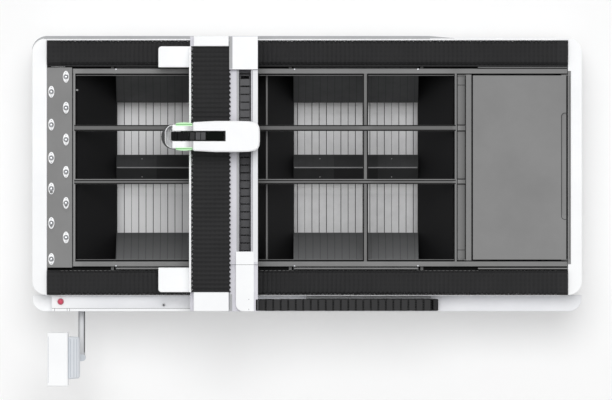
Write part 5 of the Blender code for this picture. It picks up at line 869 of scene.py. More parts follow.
@dataclass
class Chain(Sliding):
    """Energy chain of moulded links along a run, a bend and a run back."""

    fixed: float
    turn: float
    end: float
    bend: float
    thick: float
    pitch: float
    plate: float = 0.008
    plate_high: float = 0.86
    boss: float = 0.45
    lap_step: float = 0.0015
    overlap: float = 0.16
    finish: Finish = Finishes.NYLON
    cable: float = 0.011
    cable_sides: int = 8
    cable_pitch: float = 2.05
    bar_inset: float = 0.003
    bar_sunk: float = 0.002
    bar_gap: float = 0.007
    bar_edge: float = 0.003
    far: float = 1000.0

    def place(self, distance: float) -> tuple[float, float, float, float]:
        """Place along, height, and the outward direction, at a distance from the fixed end."""
        low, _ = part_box(self.node)
        sign = 1.0 if self.turn > self.fixed else -1.0
        lower = abs(self.turn - self.fixed)
        half = math.pi * self.bend
        base = low.z + self.thick / 2
        if distance <= lower:
            return self.fixed + sign * distance, base, 0.0, -1.0
        if distance <= lower + half:
            angle = (distance - lower) / self.bend
            out, up = math.sin(angle), -math.cos(angle)
            return self.turn + sign * self.bend * out, base + self.bend * (1 + up), sign * out, up
        return self.turn - sign * (distance - lower - half), base + 2 * self.bend, 0.0, 1.0

    def link(self, mesh: Mesh, distance: float, odd: bool) -> None:
        """One link: two lapped side plates, a pin boss on each and two snap-on bars."""
        a, b = self.sides()
        along, up, out_along, out_up = self.place(distance)
        step = self.lap_step if odd else 0.0
        radius = self.thick * self.plate_high / 2
        run = self.pitch * (1 + self.overlap) / 2 - radius
        outline = arc_points(run, 0, radius, -90, 90, 4) + arc_points(-run, 0, radius, 90, 270, 4)
        boss = arc_points(self.pitch / 2, 0, radius * self.boss, 0, 315, 7)
        made = []
        for shape, inset in ((outline, step), (boss, 0.0)):
            for y0, y1 in ((a + inset, a + inset + self.plate), (b - inset - self.plate, b - inset)):
                made += extrude(mesh, shape, y0, y1)
        for v in made:
            v.co = Vector((v.co.x, v.co.z, v.co.y))
        half = self.pitch / 2 - self.bar_gap / 2
        y0, y1 = a + self.bar_inset, b - self.bar_inset
        for z0, z1 in ((radius, self.thick / 2), (-self.thick / 2, -radius)):
            made += rounded_box(mesh, (-half, half, y0, y1, z0 - self.bar_sunk, z1), self.bar_edge)
        forward, across = self.at(out_up, 0, -out_along), self.at(0, 1, 0)
        outward, origin = self.at(out_along, 0, out_up), self.at(along, 0, up)
        for v in made:
            v.co = origin + forward * v.co.x + across * v.co.y + outward * v.co.z

    def cables(self, mesh: Mesh, start: float, end: float) -> None:
        """Row of cables through the links, from one distance along the chain to another."""
        a, b = self.sides()
        inner0, inner1 = a + self.plate + self.cable, b - self.plate - self.cable
        count = max(2, round((inner1 - inner0) / (self.cable_pitch * self.cable)) + 1)
        steps = max(2, round((end - start) / (self.pitch / 2)))
        stations = [self.place(start + (end - start) * i / steps) for i in range(steps + 1)]
        turns = [2 * math.pi * i / self.cable_sides for i in range(self.cable_sides)]
        spots = [(self.cable * math.cos(turn), self.cable * math.sin(turn)) for turn in turns]
        for k in range(count):
            middle = inner0 + (inner1 - inner0) * k / (count - 1)
            skin(mesh, [
                [mesh.verts.new(self.at(along + out_along * out, middle + aside, up + out_up * out))
                 for out, aside in spots]
                for along, up, out_along, out_up in stations
            ])

    def build(self) -> None:
        """Make the lower run, the bend and the upper run, each with its cables."""
        lower = abs(self.turn - self.fixed)
        half = math.pi * self.bend
        total = lower + half + abs(self.turn - self.end)
        count = round(total / self.pitch)
        step = total / count
        spans = {"lower_run": (0.0, lower), "bend": (lower, lower + half), "upper_run": (lower + half, total)}
        ends = {
            "lower_run": (self.fixed, self.fixed + 2 * (self.turn - self.fixed)),
            "bend": (self.turn - self.far, self.turn + self.far),
            "upper_run": (self.turn + (self.turn - self.end), self.end),
        }
        for name, (first, last) in spans.items():
            links, cables = bmesh.new(), bmesh.new()
            for i in range(count):
                distance = step * (i + 0.5)
                if first <= distance < last:
                    self.link(links, distance, i % 2 == 1)
            self.cables(cables, first, last)
            self.carry(new_piece(f"{self.node}_{name}", links, self.finish, smooth=30), *ends[name])
            self.carry(new_piece(f"{self.node}_{name}_cables", cables, Finishes.SHEATH, smooth=50),
                       *ends[name])


@dataclass
class HeadChain:
    """Small chain in the cover's slot, bent down to the cutting head."""

    node: str = "z_chain"
    thick: float = 0.024
    bend: float = 0.040
    pitch: float = 0.046
    gap: float = 0.004
    bend_links: int = 3
    plate: float = 0.006
    plate_high: float = 0.9
    inset: float = 0.003

    def build(self) -> None:
        """Make the level run with its bend, and the drop down to the head."""
        low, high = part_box(self.node)
        half = self.thick / 2
        level = high.z - half
        turn = low.x + half + self.bend
        centre = level - self.bend
        mesh = bmesh.new()
        run = high.x - turn
        count = round(run / self.pitch)
        for i in range(count):
            middle = turn + run * (i + 0.5) / count
            self.block(mesh, Vector((middle, 0, level)), 0.0, low.y, high.y, run / count)
        for i in range(self.bend_links):
            angle = math.pi / 2 * (i + 0.5) / self.bend_links
            middle = Vector((turn - self.bend * math.sin(angle), 0, centre + self.bend * math.cos(angle)))
            length = math.pi / 2 * (self.bend + half) / self.bend_links
            self.block(mesh, middle, -angle, low.y, high.y, length)
        fall = centre - low.z
        count = max(1, round(fall / self.pitch))
        for i in range(count):
            middle = Vector((turn - self.bend, 0, centre - fall * (i + 0.5) / count))
            self.block(mesh, middle, -math.pi / 2, low.y, high.y, fall / count)
        # Painted shade: the chain takes the deep black that stands for the hood's shade.
        item = new_piece("head_chain", mesh, Finishes.SHADED_NYLON, smooth=30)
        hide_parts(self.node)
        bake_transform(item)
        log.info("%s: links between carriage and head", item.name)

    def block(self, mesh: Mesh, middle: Vector, tilt: float, y0: float, y1: float, length: float) -> None:
        """One link as two side plates and a bar, tilted about the cross axis."""
        half, inset = self.thick / 2, self.inset
        reach, bar, tall = length / 2 + inset, length / 2 - self.gap / 2, half * self.plate_high
        made = []
        for a, b in ((y0, y0 + self.plate), (y1 - self.plate, y1)):
            made += rounded_box(mesh, (-reach, reach, a, b, -tall, tall), 0.003)
        made += rounded_box(mesh, (-bar, bar, y0 + inset, y1 - inset, -half, half), 0.002)
        turn = Matrix.Rotation(tilt, 3, "Y")
        for v in made:
            v.co = middle + turn @ v.co


@dataclass
class BallUnits:
    """Ball transfer units on the loading table."""

    table_top: float = 0.888
    flange_half: Point = (0.0262, 0.0502)
    flange_thick: float = 0.0046
    flange_sides: int = 24
    cup_radius: float = 0.0215
    cup_high: float = 0.0100
    cup_sides: int = 20
    ball_radius: float = 0.0153
    ball_rings: int = 12
    ball_lift: float = 0.0005
    columns: tuple[tuple[float, tuple[float, ...]], ...] = (
        (66.0, (76.7, 107.8, 139.6, 171.9, 203.0, 237.4)),
        (51.3, (91.7, 124.7, 157.9, 188.6, 223.1, 259.0)),
    )
    screw_out: float = 0.037
    screw_radius: float = 0.0048
    screw_high: float = 0.003
    screw_sides: int = 12

    def spots(self) -> list[Vector]:
        """Middle of each unit on the table's top."""
        return [Vector((*at_pixel(px, py), self.table_top)) for px, rows in self.columns for py in rows]

    def flange(self, mesh: Mesh, spot: Vector) -> None:
        """Oval flange with a rounded edge."""
        x, y = self.flange_half
        turns = [2 * math.pi * i / self.flange_sides for i in range(self.flange_sides)]
        skin(mesh, [
            [mesh.verts.new(spot + Vector((x * share * math.cos(t), y * share * math.sin(t), z)))
             for t in turns]
            for share, z in ((1.0, 0.0), (1.0, self.flange_thick * 0.6), (0.94, self.flange_thick))
        ])

    def build(self) -> None:
        """Make the flanges, cups, balls and screws of all units."""
        flanges, cups, balls, screws = (bmesh.new() for _ in range(4))
        for spot in self.spots():
            self.flange(flanges, spot)
            base = spot + Vector((0, 0, self.flange_thick))
            cup = [(self.cup_radius, -0.001), (self.cup_radius, self.cup_high * 0.6),
                   (self.cup_radius * 0.86, self.cup_high * 0.9),
                   (self.ball_radius * 0.98, self.cup_high * 0.8),
                   (self.ball_radius * 0.98, -0.001)]
            turned(cups, cup, base, self.cup_sides)
            centre = base + Vector((0, 0, self.ball_lift))
            bmesh.ops.create_uvsphere(balls, u_segments=self.cup_sides, v_segments=self.ball_rings,
                                      radius=self.ball_radius, matrix=Matrix.Translation(centre))
            for side in (-1, 1):
                place = base + Vector((0, side * self.screw_out, 0))
                turned(screws, screw_profile(self.screw_radius, self.screw_high), place, self.screw_sides)
        fit(new_piece("ball_unit_flanges", flanges, Finishes.WHITE, smooth=40), "bed")
        fit(new_piece("ball_unit_cups", cups, Finishes.TRIM, smooth=40), "bed")
        fit(new_piece("ball_unit_balls", balls, Finishes.BALL, smooth=60), "bed")
        fit(new_piece("ball_unit_screws", screws, Finishes.ZINC, smooth=30), "bed")


def screw_profile(radius: float, height: float) -> list[Point]:
    """Profile of a button screw with a socket in its head."""
    socket = radius * 0.5
    return [(radius, -0.0005), (radius, height * 0.55), (radius * 0.86, height), (socket, height),
            (socket * 0.9, height * 0.35), (0, height * 0.35)]


@dataclass
class Fasteners:
    """Button screws on the sheet work, one joined piece for each carrier."""

    height: float = 0.003
    sides: int = 12
    groups: tuple[tuple[str, str, str, float, tuple[Point, ...]], ...] = (
        ("frame_pad_screws", "bed", "support_frame", 0.007,
         tuple((px, py) for px in (116.0, 294.5, 418.0) for py in (69.2, 265.8))),
        ("duct_cover_screws", "gantry", "chain_duct_cover", 0.0045, ((249.0, 299.0), (249.0, 309.0))),
    )

    def build(self) -> None:
        """Screws of the frame pads and of the duct cover."""
        for name, body, carrier, radius, places in self.groups:
            mesh = bmesh.new()
            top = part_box(carrier)[1].z
            for px, py in places:
                turned(mesh, screw_profile(radius, self.height), Vector((*at_pixel(px, py), top)), self.sides)
            fit(new_piece(name, mesh, Finishes.ZINC, smooth=30), body)


@dataclass
class Seams:
    """Dark joint lines between neighbouring panels, as thin sealing strips."""

    width: float = 0.0026
    proud: float = 0.0004
    cover_rows: Point = (70.0, 264.5)
    box_top: float = 0.81
    box_row: float = 308.5
    box_columns: tuple[float, ...] = (54.4, 67.0, 69.4)

    def build(self) -> None:
        """Joints on the gantry covers and on the control box."""
        half = self.width / 2
        low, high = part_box("chain_trough")
        rows = [y_at(py) for py in self.cover_rows]
        lines = [(low.x + 0.001, high.x - 0.001, y - half, y + half, high.z - 0.001, high.z + self.proud)
                 for y in rows]
        plates("gantry_end_joints", "gantry", Finishes.RUBBER_AND_SHADE, lines, self.proud * 0.4)
        low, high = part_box("control_box")
        x0, x1, top, lid = low.x + 0.002, high.x - 0.002, self.box_top, y_at(self.box_row)
        lines = [(x0, x1, lid - half, lid + half, top - 0.001, top + self.proud)]
        lines += [(x - half, x + half, low.y + 0.001, lid, top - 0.001, top + 0.0012)
                  for x in map(x_at, self.box_columns)]
        plates("control_box_joints", "bed", Finishes.RUBBER_AND_SHADE, lines, self.proud * 0.4)
        door = [(x0, x1, low.y + 0.0006, lid - half, top + 0.0001, top + 0.0008)]
        plates("control_box_door_edge", "bed", Finishes.WHITE, door, 0.0003)


@dataclass
class FrameTops:
    """Covers, painted shadow strips, dark joints and stop strips on the part support and the beds beside it.

    A member has its place across, its width, flange, groove and line. A cross has its place along, its
    width and the lines on its low and high side.
    """

    top: float = 0.87
    members: tuple[tuple[float, float, float, float, float], ...] = (
        (0.332, 0.050, 0.0, 0.0090, 0.0110), (-0.118, 0.042, 0.0070, 0.0085, 0.0090),
    )
    crosses: tuple[tuple[float, float, float, float], ...] = (
        (-1.956, 0.020, 0.0012, 0.0012), (0.491, 0.040, 0.0085, 0.0085), (1.249, 0.024, 0.0050, 0.0030),
    )
    reach: float = 0.789
    sheet: float = 0.0012
    thin_lines: float = 0.009
    lip: Point = (1.2645, 1.3265)
    lip_top: float = 0.84
    lip_half: float = 0.772
    lip_joint: float = 0.693
    bed_ends: Point = (-2.178, 2.186)
    gutter: tuple[float, float, float, float] = (0.8315, 0.8640, 0.8005, 0.8035)
    guide_foot: float = 0.8036
    guide_spans: tuple[Point, ...] = ((116.0, 190.0), (294.0, 418.0), (478.0, 567.6))
    bays: tuple[Point, ...] = ((-1.955, -0.980), (-0.4000, 1.3185))
    bay_foot: float = 0.8045

    def members_and_crosses(self) -> None:
        """Painted shadow as dark strips at the edges of each member and cross, with a paler cover between
        them.
        """
        left, right = self.crosses[0][0], self.crosses[-1][0]
        low, high = self.top, self.top + self.sheet / 2
        shadows, covers, flanges = [], [], []
        for y, width, flange, groove, line in self.members:
            half = width / 2
            shadows.append(place_box(left, right, y - half + 0.0004, y + half - 0.0004, low, high))
            rear = y + half - flange
            covers.append(place_box(left, right, y - half + line, rear - groove, low, low + self.sheet))
            if flange:
                flanges.append(place_box(left, right, rear, y + half - 0.0002, low, low + self.sheet))
        bounds = [-self.reach, *sorted(member[0] for member in self.members), self.reach]
        widths = {member[0]: member[1] for member in self.members}
        for x, width, line_low, line_high in self.crosses:
            half = width / 2
            for y0, y1 in zip(bounds, bounds[1:]):
                a = y0 + widths.get(y0, 0.0) / 2
                b = y1 - widths.get(y1, 0.0) / 2
                shadows.append(place_box(x - half - 0.0010, x + half + 0.0025, a, b, low, high))
                cover = place_box(x - half + line_low, x + half - line_high, a, b, low, low + self.sheet)
                (flanges if line_low + line_high < self.thin_lines else covers).append(cover)
        # Painted shadow: black strips where the channels' sides fall into shade.
        plates("frame_channel_painted_shadows", "bed", Finishes.RUBBER_AND_SHADE, shadows, 0.0002)
        plates("frame_channel_covers", "bed", Finishes.MEMBER, covers, 0.0004)
        plates("frame_channel_flanges", "bed", Finishes.FRAME, flanges, 0.0004)

    def lip_and_ends(self) -> None:
        """Darker stop strip beside the hatch, with its joints and the members' ends across it."""
        x0, x1 = self.lip
        low, high, half = self.lip_top, self.lip_top + self.sheet, self.lip_half
        proud = high + 0.0004
        plates("stop_strip", "bed", Finishes.MEMBER, [place_box(x0, x1, -half, half, low, high)])
        ends = [place_box(x0 + 0.001, x1 + 0.004, y - width / 2 + 0.004, y + width / 2 - 0.004,
                          high, self.top)
                for y, width, *_ in self.members]
        plates("member_ends", "bed", Finishes.MEMBER, ends, 0.002)
        joints = [place_box(x0 + 0.0005, x1 - 0.0005, y - 0.0022, y + 0.0022, low, proud)
                  for y in (-self.lip_joint, self.lip_joint)]
        joints.append(place_box(x1 + 0.0002, x1 + 0.0080, -half, half, low - 0.002, low + 0.0006))
        edges = [y + side * width / 2 for y, width, *_ in self.members for side in (-1, 1)]
        joints += [place_box(x0, x1, edge - 0.004, edge + 0.004, low, proud) for edge in edges]
        plates("stop_strip_joints", "bed", Finishes.RUBBER_AND_SHADE, joints, 0.0002)

    def flanks(self) -> None:
        """Gutter and guides between each rail and its bellows, and the folded edge inside each rail."""
        x0, x1 = self.bed_ends
        near, far, low, high = self.gutter
        gutters = [place_box(x0, x1, *sorted((side * near, side * far)), low, high) for side in (-1, 1)]
        plates("rail_gutters", "bed", Finishes.RUBBER_AND_SHADE, gutters)
        foot = self.guide_foot
        guide = [place_box(x0, x1, 0.8480, far, foot, 0.9050)]
        plates("rear_bellows_guide", "bed", Finishes.CLOTH, guide, 0.0015)
        spans = [(x_at(a), x_at(b)) for a, b in self.guide_spans]
        strips = [place_box(a, b, -0.8540, -0.8430, foot, 0.8950) for a, b in spans]
        strips.append(place_box(*spans[-1], 0.8380, 0.8450, foot, 0.8950))
        plates("bellows_guides", "bed", Finishes.FRAME, strips, 0.0012)
        for name, finish, near, far, top, edge in (
            ("rail_inner_grooves", Finishes.RUBBER_AND_SHADE, 0.7780, 0.7885, 0.8350, 0.0008),
            ("rail_inner_edges", Finishes.MEMBER, 0.7715, 0.7775, 0.8600, 0.0012),
        ):
            boxes = [place_box(a, b, *sorted((side * near, side * far)), self.bay_foot, top)
                     for side in (-1, 1) for a, b in self.bays]
            plates(name, "bed", finish, boxes, edge)

    def end_of_bed(self) -> None:
        """Closing strip on the right cap, a stop tab on the ball table and the rear trim's lip."""
        strip = [place_box(2.1925, 2.2165, -0.812, 0.812, 0.9003, 0.9045)]
        plates("end_closing_strip", "bed", Finishes.FRAME, strip, 0.001)
        seam = [place_box(2.2055, 2.2080, -0.770, 0.770, 0.9044, 0.9049),
                place_box(2.1785, 2.1915, -0.772, 0.772, 0.8705, 0.8745)]
        plates("end_closing_joints", "bed", Finishes.RUBBER_AND_SHADE, seam, 0.0002)
        tab = [pixel_box(51.4, 65.2, 65.3, 66.9, 0.8720, 0.8900)]
        plates("table_stop_tab", "bed", Finishes.WHITE, tab, 0.001)
        lip = [pixel_box(44.0, 430.0, 37.8, 38.9, 0.8985, 0.9010)]
        plates("rear_trim_lip", "bed", Finishes.TRIM, lip, 0.0006)

    def build(self) -> None:
        """Make the covers, the stop strip, the guides and the closing strip."""
        self.members_and_crosses()
        self.lip_and_ends()
        self.flanks()
        self.end_of_bed()


@dataclass
class HatchGrip:
    """Dark line of painted shade round the hatch's grip recess, laid along a rounded path."""

    x: float = 2.1382
    x_end: float = 2.1750
    rows: Point = (219.5, 113.0)
    corner: float = 0.028
    half: float = 0.0021
    top: float = 0.886
    rise: Point = (0.0002, 0.0007)

    def build(self) -> None:
        """Sweep a flat line along one side and both rounded ends."""
        y0, y1 = (y_at(row) for row in self.rows)
        middle, corner = self.x + self.corner, self.corner
        path = [(self.x_end, y0), *arc_points(middle, y0 + corner, corner, 270, 180, 8),
                *arc_points(middle, y1 - corner, corner, 180, 90, 8), (self.x_end, y1)]
        low, high = self.rise
        mesh = bmesh.new()
        rings = []
        for i, (x, y) in enumerate(path):
            before, after = Vector(path[max(i - 1, 0)]), Vector(path[min(i + 1, len(path) - 1)])
            along = (after - before).normalized()
            across = Vector((-along.y, along.x)) * self.half
            rings.append([mesh.verts.new((x + s * across.x, y + s * across.y, self.top + z))
                          for s, z in ((-1, low), (1, low), (1, high), (-1, high))])
        skin(mesh, rings)
        fit(new_piece("hatch_grip_painted_shade", mesh, Finishes.RUBBER_AND_SHADE), "hatch")


@dataclass
class ScrapBays:
    """Planks of the slag drawers, and the ridges with their rivets between them."""

    pitch: float = 0.0612
    gaps: tuple[float, ...] = (0.0052, 0.0026, 0.0052, 0.0046)
    most_planks: int = 40
    least_plank: float = 0.012
    side_inset: float = 0.024
    wall_inset: float = 0.006
    ridge_inset: float = 0.030
    floor: float = 0.1086
    sheet: float = 0.0022
    first_lines: Point = (123.2, 297.4)
    ridge_top: float = 0.50
    ridges: tuple[Point, ...] = ((115.8, 240.4), (293.6, 418.4))
    cap: tuple[float, float, float] = (0.0062, 0.0090, 0.0020)
    cap_inset: float = 0.006
    rivet: float = 0.0055

    def planks(self) -> None:
        """Separate planks on each drawer's floor, over a black sheet that is painted shade in the gaps
        between them.
        """
        for side, first in zip(("left", "right"), self.first_lines):
            line = x_at(first)
            for end, inset0, inset1 in (("rear", self.wall_inset, self.ridge_inset),
                                        ("front", self.ridge_inset, self.wall_inset)):
                body = f"drawer_{end}_{side}"
                low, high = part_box(body)
                x0, x1 = low.x + self.side_inset, high.x - self.side_inset
                y0, y1 = low.y + inset0, high.y - inset1
                start = line - math.floor((line - x0) / self.pitch) * self.pitch
                marks = [start + self.pitch * i for i in range(self.most_planks)]
                edges = [x0, *(x for x in marks if x0 + self.least_plank < x < x1 - self.least_plank), x1]
                halves = [self.gaps[round((edge - line) / self.pitch) % len(self.gaps)] / 2 for edge in edges]
                boxes = [(edges[i] + halves[i], edges[i + 1] - halves[i + 1], y0, y1, self.floor + 0.0004,
                          self.floor + self.sheet) for i in range(len(edges) - 1)]
                plates(f"{end}_{side}_planks", body, Finishes.LIGHT_PAINTED_PLANK, boxes, 0.0006)
                # Painted shade: a black sheet under the planks darkens their gaps.
                under = (x0 + 0.001, x1 - 0.001, y0 + 0.001, y1 - 0.001, self.floor - 0.0002,
                         self.floor + 0.0006)
                plates(f"{end}_{side}_plank_gap_shade", body, Finishes.RUBBER_AND_SHADE, [under], 0.0001)

    def ridge_caps(self) -> None:
        """Bent strip along the crest of each ridge."""
        mesh = bmesh.new()
        half, fall, thick = self.cap
        profile = [(-half, -fall), (0.0, thick), (half, -fall), (0.0, -thick)]
        for px0, px1 in self.ridges:
            skin(mesh, [[mesh.verts.new((x, MACHINE_Y + y, self.ridge_top + z)) for y, z in profile]
                        for x in (x_at(px0) + self.cap_inset, x_at(px1) - self.cap_inset)])
        fit(new_piece("ridge_caps", mesh, Finishes.GALVANISED), "bed")

    def rivets(self, nodes: dict[str, Item]) -> None:
        """Domed rivets where the ridge sheets are joined."""
        mesh = bmesh.new()
        spots = {
            "hopper_right": ((320.0, 158.6), (392.0, 158.6), (320.0, 176.8), (392.0, 176.8)),
            "hopper_left": ((141.4, 158.7), (141.4, 176.7), (214.0, 158.7), (214.0, 176.7)),
        }
        profile = [(self.rivet, -0.0005), (self.rivet * 0.85, 0.002), (self.rivet * 0.5, 0.0034),
                   (0.0, 0.0038)]
        for node, places in spots.items():
            for px, py in places:
                point, normal = top_of(nodes[node], *at_pixel(px, py))
                made_before = len(mesh.verts)
                turned(mesh, profile, Vector((0, 0, 0)), 10)
                mesh.verts.ensure_lookup_table()
                turn = Vector((0, 0, 1)).rotation_difference(normal)
                for v in mesh.verts[made_before:]:
                    v.co = point + turn @ v.co
        fit(new_piece("ridge_rivets", mesh, Finishes.GALVANISED, smooth=50), "bed")

    def build(self, nodes: dict[str, Item]) -> None:
        """Make the planks, the ridge caps and the rivets."""
        self.planks()
        self.ridge_caps()
        self.rivets(nodes)


@dataclass
class GantryTop:
    """Folded flanges of the chain tray, its end block, and painted shade in the slots at its ends and beside
    the end covers.
    """

    rows: Point = (262.0, 70.6)
    slot_column: float = 231.0
    slot_rows: tuple[Point, ...] = ((37.0, 69.0), (294.0, 310.6))
    return_rows: tuple[Point, ...] = ((36.7, 46.4), (292.2, 310.8))
    return_rise: float = 0.15

    def flanges(self, tray: Item) -> None:
        """White outer flange, end block, raised folds beside the chain and the lip it enters by."""
        y0, y1 = (y_at(row) for row in self.rows)
        outer, inner = (top_of(tray, x_at(px), (y0 + y1) / 2)[0].z for px in (256.0, 235.0))
        # The outer flange takes the ledge's greyer white, painted shade.
        flange = [(x_at(253.1), x_at(257.9), y0, y1, outer + 0.0002, outer + 0.0016)]
        plates("tray_outer_flange", "gantry", Finishes.LEDGE, flange, 0.0006)
        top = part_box("chain_trough")[1].z
        block = [pixel_box(232.8, 257.8, 37.0, 69.6, top + 0.0001, top + 0.0015)]
        plates("tray_end_block", "gantry", Finishes.WHITE, block, 0.0006)
        folds = [(x_at(a), x_at(b), y0, y1, foot + 0.0002, foot + rise)
                 for a, b, foot, rise in ((236.9, 238.8, inner, 0.0060), (251.9, 252.8, outer, 0.0010))]
        plates("tray_folds", "gantry", Finishes.TRIM, folds, 0.0004)
        lip = [pixel_box(255.9, 257.9, 299.2, 310.4, outer + 0.0002, outer + 0.0020)]
        plates("chain_entry_lip", "gantry", Finishes.RUBBER_AND_SHADE, lip, 0.0006)

    def slots(self, tray: Item) -> None:
        """Grey plates of painted shade in the slots at the tray's ends, and returns in the tray's lilac grey
        as painted shade beside the end covers.
        """
        slots = []
        for py0, py1 in self.slot_rows:
            top = top_of(tray, *at_pixel(self.slot_column, (py0 + py1) / 2))[0].z
            slots.append(pixel_box(229.5, 232.4, py0, py1, top + 0.0001, top + 0.0007))
        plates("tray_end_slot_shade", "gantry", Finishes.TRIM, slots, 0.0001)
        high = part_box("end_cover_rear")[0].z + self.return_rise
        returns = [pixel_box(190.4, 193.9, py0, py1, high, high + 0.002) for py0, py1 in self.return_rows]
        plates("end_cover_shaded_returns", "gantry", Finishes.TRAY, returns, 0.0006)

    def build(self, nodes: dict[str, Item]) -> None:
        """Make the flanges, the end block and the slots."""
        self.flanges(nodes["chain_trough"])
        self.slots(nodes["chain_trough"])


@dataclass
class CarriageTop:
    """Joint filler between hood and cover in the grey of painted shade, lamp lenses, and the clamp at the
    small chain's end.
    """

    lens_ends: Point = (-1.0980, -0.9580)
    rear_rows: tuple[float, ...] = (126.30, 125.30, 124.20, 122.75)
    front_rows: tuple[float, ...] = (147.75, 148.45, 149.60, 150.80)
    lens_rise: float = 0.0012
    lens_round: float = 0.0010
    bulge: float = 0.0080
    stations: int = 12
    slot_rows: Point = (141.9, 131.2)
    filler: tuple[float, float, float] = (-0.9625, -0.9535, 1.3100)
    clamp_start: float = 206.8
    lid_long: float = 4.6

    def arched(self, mesh: Mesh, inner: float, outer: float, low: float, bulge: float) -> None:
        """Bar along the hood's flank whose outer side swells towards its middle.

        Args:
            mesh: Mesh that takes the bar.
            inner: Place in Y of its straight side.
            outer: Place in Y of the other side's middle.
            low: Height of its foot.
            bulge: How far the other side falls back at the ends.
        """
        way = math.copysign(bulge, outer - inner)
        outline = [(self.lens_ends[1], inner), (self.lens_ends[0], inner)]
        for step in range(self.stations + 1):
            share = step / self.stations
            x = self.lens_ends[0] + (self.lens_ends[1] - self.lens_ends[0]) * share
            outline.append((x, outer - way * (2 * share - 1) ** 2))
        extrude(mesh, outline, low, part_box("head_cover")[1].z + self.lens_rise)

    def lenses(self) -> None:
        """Frosted cover with a green line in it, in place of each light strip."""
        for node, rows in (("light_strip_rear", self.rear_rows), ("light_strip_front", self.front_rows)):
            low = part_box(node)[0].z
            glow, line, rim, outer = (y_at(row) for row in rows)
            frosted, lamp = bmesh.new(), bmesh.new()
            self.arched(frosted, rim, outer, low, self.bulge)
            self.arched(frosted, glow, line, low, 0.0)
            self.arched(lamp, line, rim, low, 0.0)
            for mesh in (frosted, lamp):
                bmesh.ops.recalc_face_normals(mesh, faces=mesh.faces)
                bmesh.ops.bevel(mesh, geom=mesh.edges[:], offset=self.lens_round, segments=2, affect="EDGES")
            fit(new_piece(f"{node}_lens", frosted, Finishes.FROSTED_GREEN, smooth=40), "carriage", node)
            fit(new_piece(f"{node}_line", lamp, Finishes.GREEN, smooth=40), "carriage")

    def build(self) -> None:
        """Make the joint filler in the grey of painted shade, the lenses, the lids and the black clamp."""
        self.lenses()
        hood0, hood1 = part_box("head_cover")
        slot0, slot1 = (y_at(row) for row in self.slot_rows)
        # Painted shade: the filler is grey where the hood's edge falls into shade by the cover.
        x0, x1, foot = self.filler
        fill = [(x0, x1, a, b, foot, hood1.z - 0.0004)
                for a, b in ((hood0.y + 0.0004, slot0), (slot1, hood1.y - 0.0004))]
        plates("cover_joint_shaded_filler", "carriage", Finishes.TRIM, fill, 0.001)
        low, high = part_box("z_chain")
        top = high.z
        start = x_at(self.clamp_start)
        clamp = [(start, high.x - 0.002, low.y + 0.002, high.y - 0.002, top + 0.0005, top + 0.006)]
        plates("small_chain_clamp", "carriage", Finishes.CLAMP, clamp, 0.002)
        for name, finish, starts in (
            ("dark", Finishes.BLACK_NYLON, (190.6,)), ("pale", Finishes.NYLON, (196.2, 201.4)),
        ):
            lids = [(x_at(px), x_at(px + self.lid_long), low.y + 0.003, high.y - 0.003, top + 0.0004,
                     top + 0.0020)
                    for px in starts]
            plates(f"small_chain_{name}_lids", "carriage", finish, lids, 0.0008)


@dataclass
class ShelfTop:
    """Hem on the shelf's upstand, and the side rail that guides the long chain."""

    ends: Point = (-2.183, 2.191)
    hem: float = 0.0070

    def build(self) -> None:
        """Make the hem and the guide rail."""
        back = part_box("front_shelf")[1]
        hem = [(*self.ends, back.y - self.hem, back.y - 0.0002, back.z - 0.004, back.z + 0.0012)]
        plates("shelf_hem", "bed", Finishes.WHITE, hem, 0.001)
        rail = [pixel_box(306.0, 431.0, 296.3, 298.9, 0.7002, 0.7350)]
        plates("chain_guide_rail", "bed", Finishes.TRIM, rail, 0.0015)


@dataclass
class DrawerFronts:
    """Painted face plates of the slag drawers, each with a cupped grip behind its slot."""

    thick: float = 0.0018
    margin: float = 0.0015
    slot_half: float = 0.128
    slot_low: float = 0.266
    slot_high: float = 0.298
    wall: float = 0.0125
    cup: float = 0.034
    sheet: float = 0.0015
    drop: float = 0.008

    def face(self, name: str, body: str, outer: Box, y0: float, y1: float) -> None:
        """Plate between two places in Y with the grip slot cut out of it."""
        x0, x1, _, _, z0, z1 = outer
        middle = (x0 + x1) / 2
        inner = (middle - self.slot_half, middle + self.slot_half, self.slot_low, self.slot_high)
        mesh = bmesh.new()
        rings = [
            [mesh.verts.new((x, y, z)) for x, z in ((a, c), (b, c), (b, d), (a, d))]
            for a, b, c, d in ((x0, x1, z0, z1), inner) for y in (y0, y1)
        ]
        for one, two in ((0, 1), (2, 3), (0, 2), (1, 3)):
            for i in range(4):
                j = (i + 1) % 4
                mesh.faces.new((rings[one][i], rings[one][j], rings[two][j], rings[two][i]))
        fit(new_piece(name, mesh, Finishes.WHITE), body)

    def build(self) -> None:
        """Make the plate and the cup of each drawer."""
        for node in ("drawer_rear_left", "drawer_rear_right", "drawer_front_left", "drawer_front_right"):
            low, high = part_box(node)
            way = 1 if "rear" in node else -1
            front = high.y if way > 0 else low.y
            y0, y1 = sorted((front + way * 0.0001, front + way * self.thick))
            gap = self.margin
            outer = (low.x + gap, high.x - gap, 0, 0, low.z + gap, high.z - gap)
            self.face(f"{node}_face", node, outer, y0, y1)
            middle, foot = (low.x + high.x) / 2, self.slot_low - self.drop
            a, b = middle - self.slot_half, middle + self.slot_half
            near, far = front - way * self.wall, front - way * self.cup
            boxes = [(a, b, *sorted((far, far + way * self.sheet)), foot, self.slot_high)]
            boxes += [(a, b, *sorted((near, far)), z, z + self.sheet)
                      for z in (foot, self.slot_high - self.sheet)]
            plates(f"{node}_grip_cup", node, Finishes.MOTOR, boxes, 0.0004)


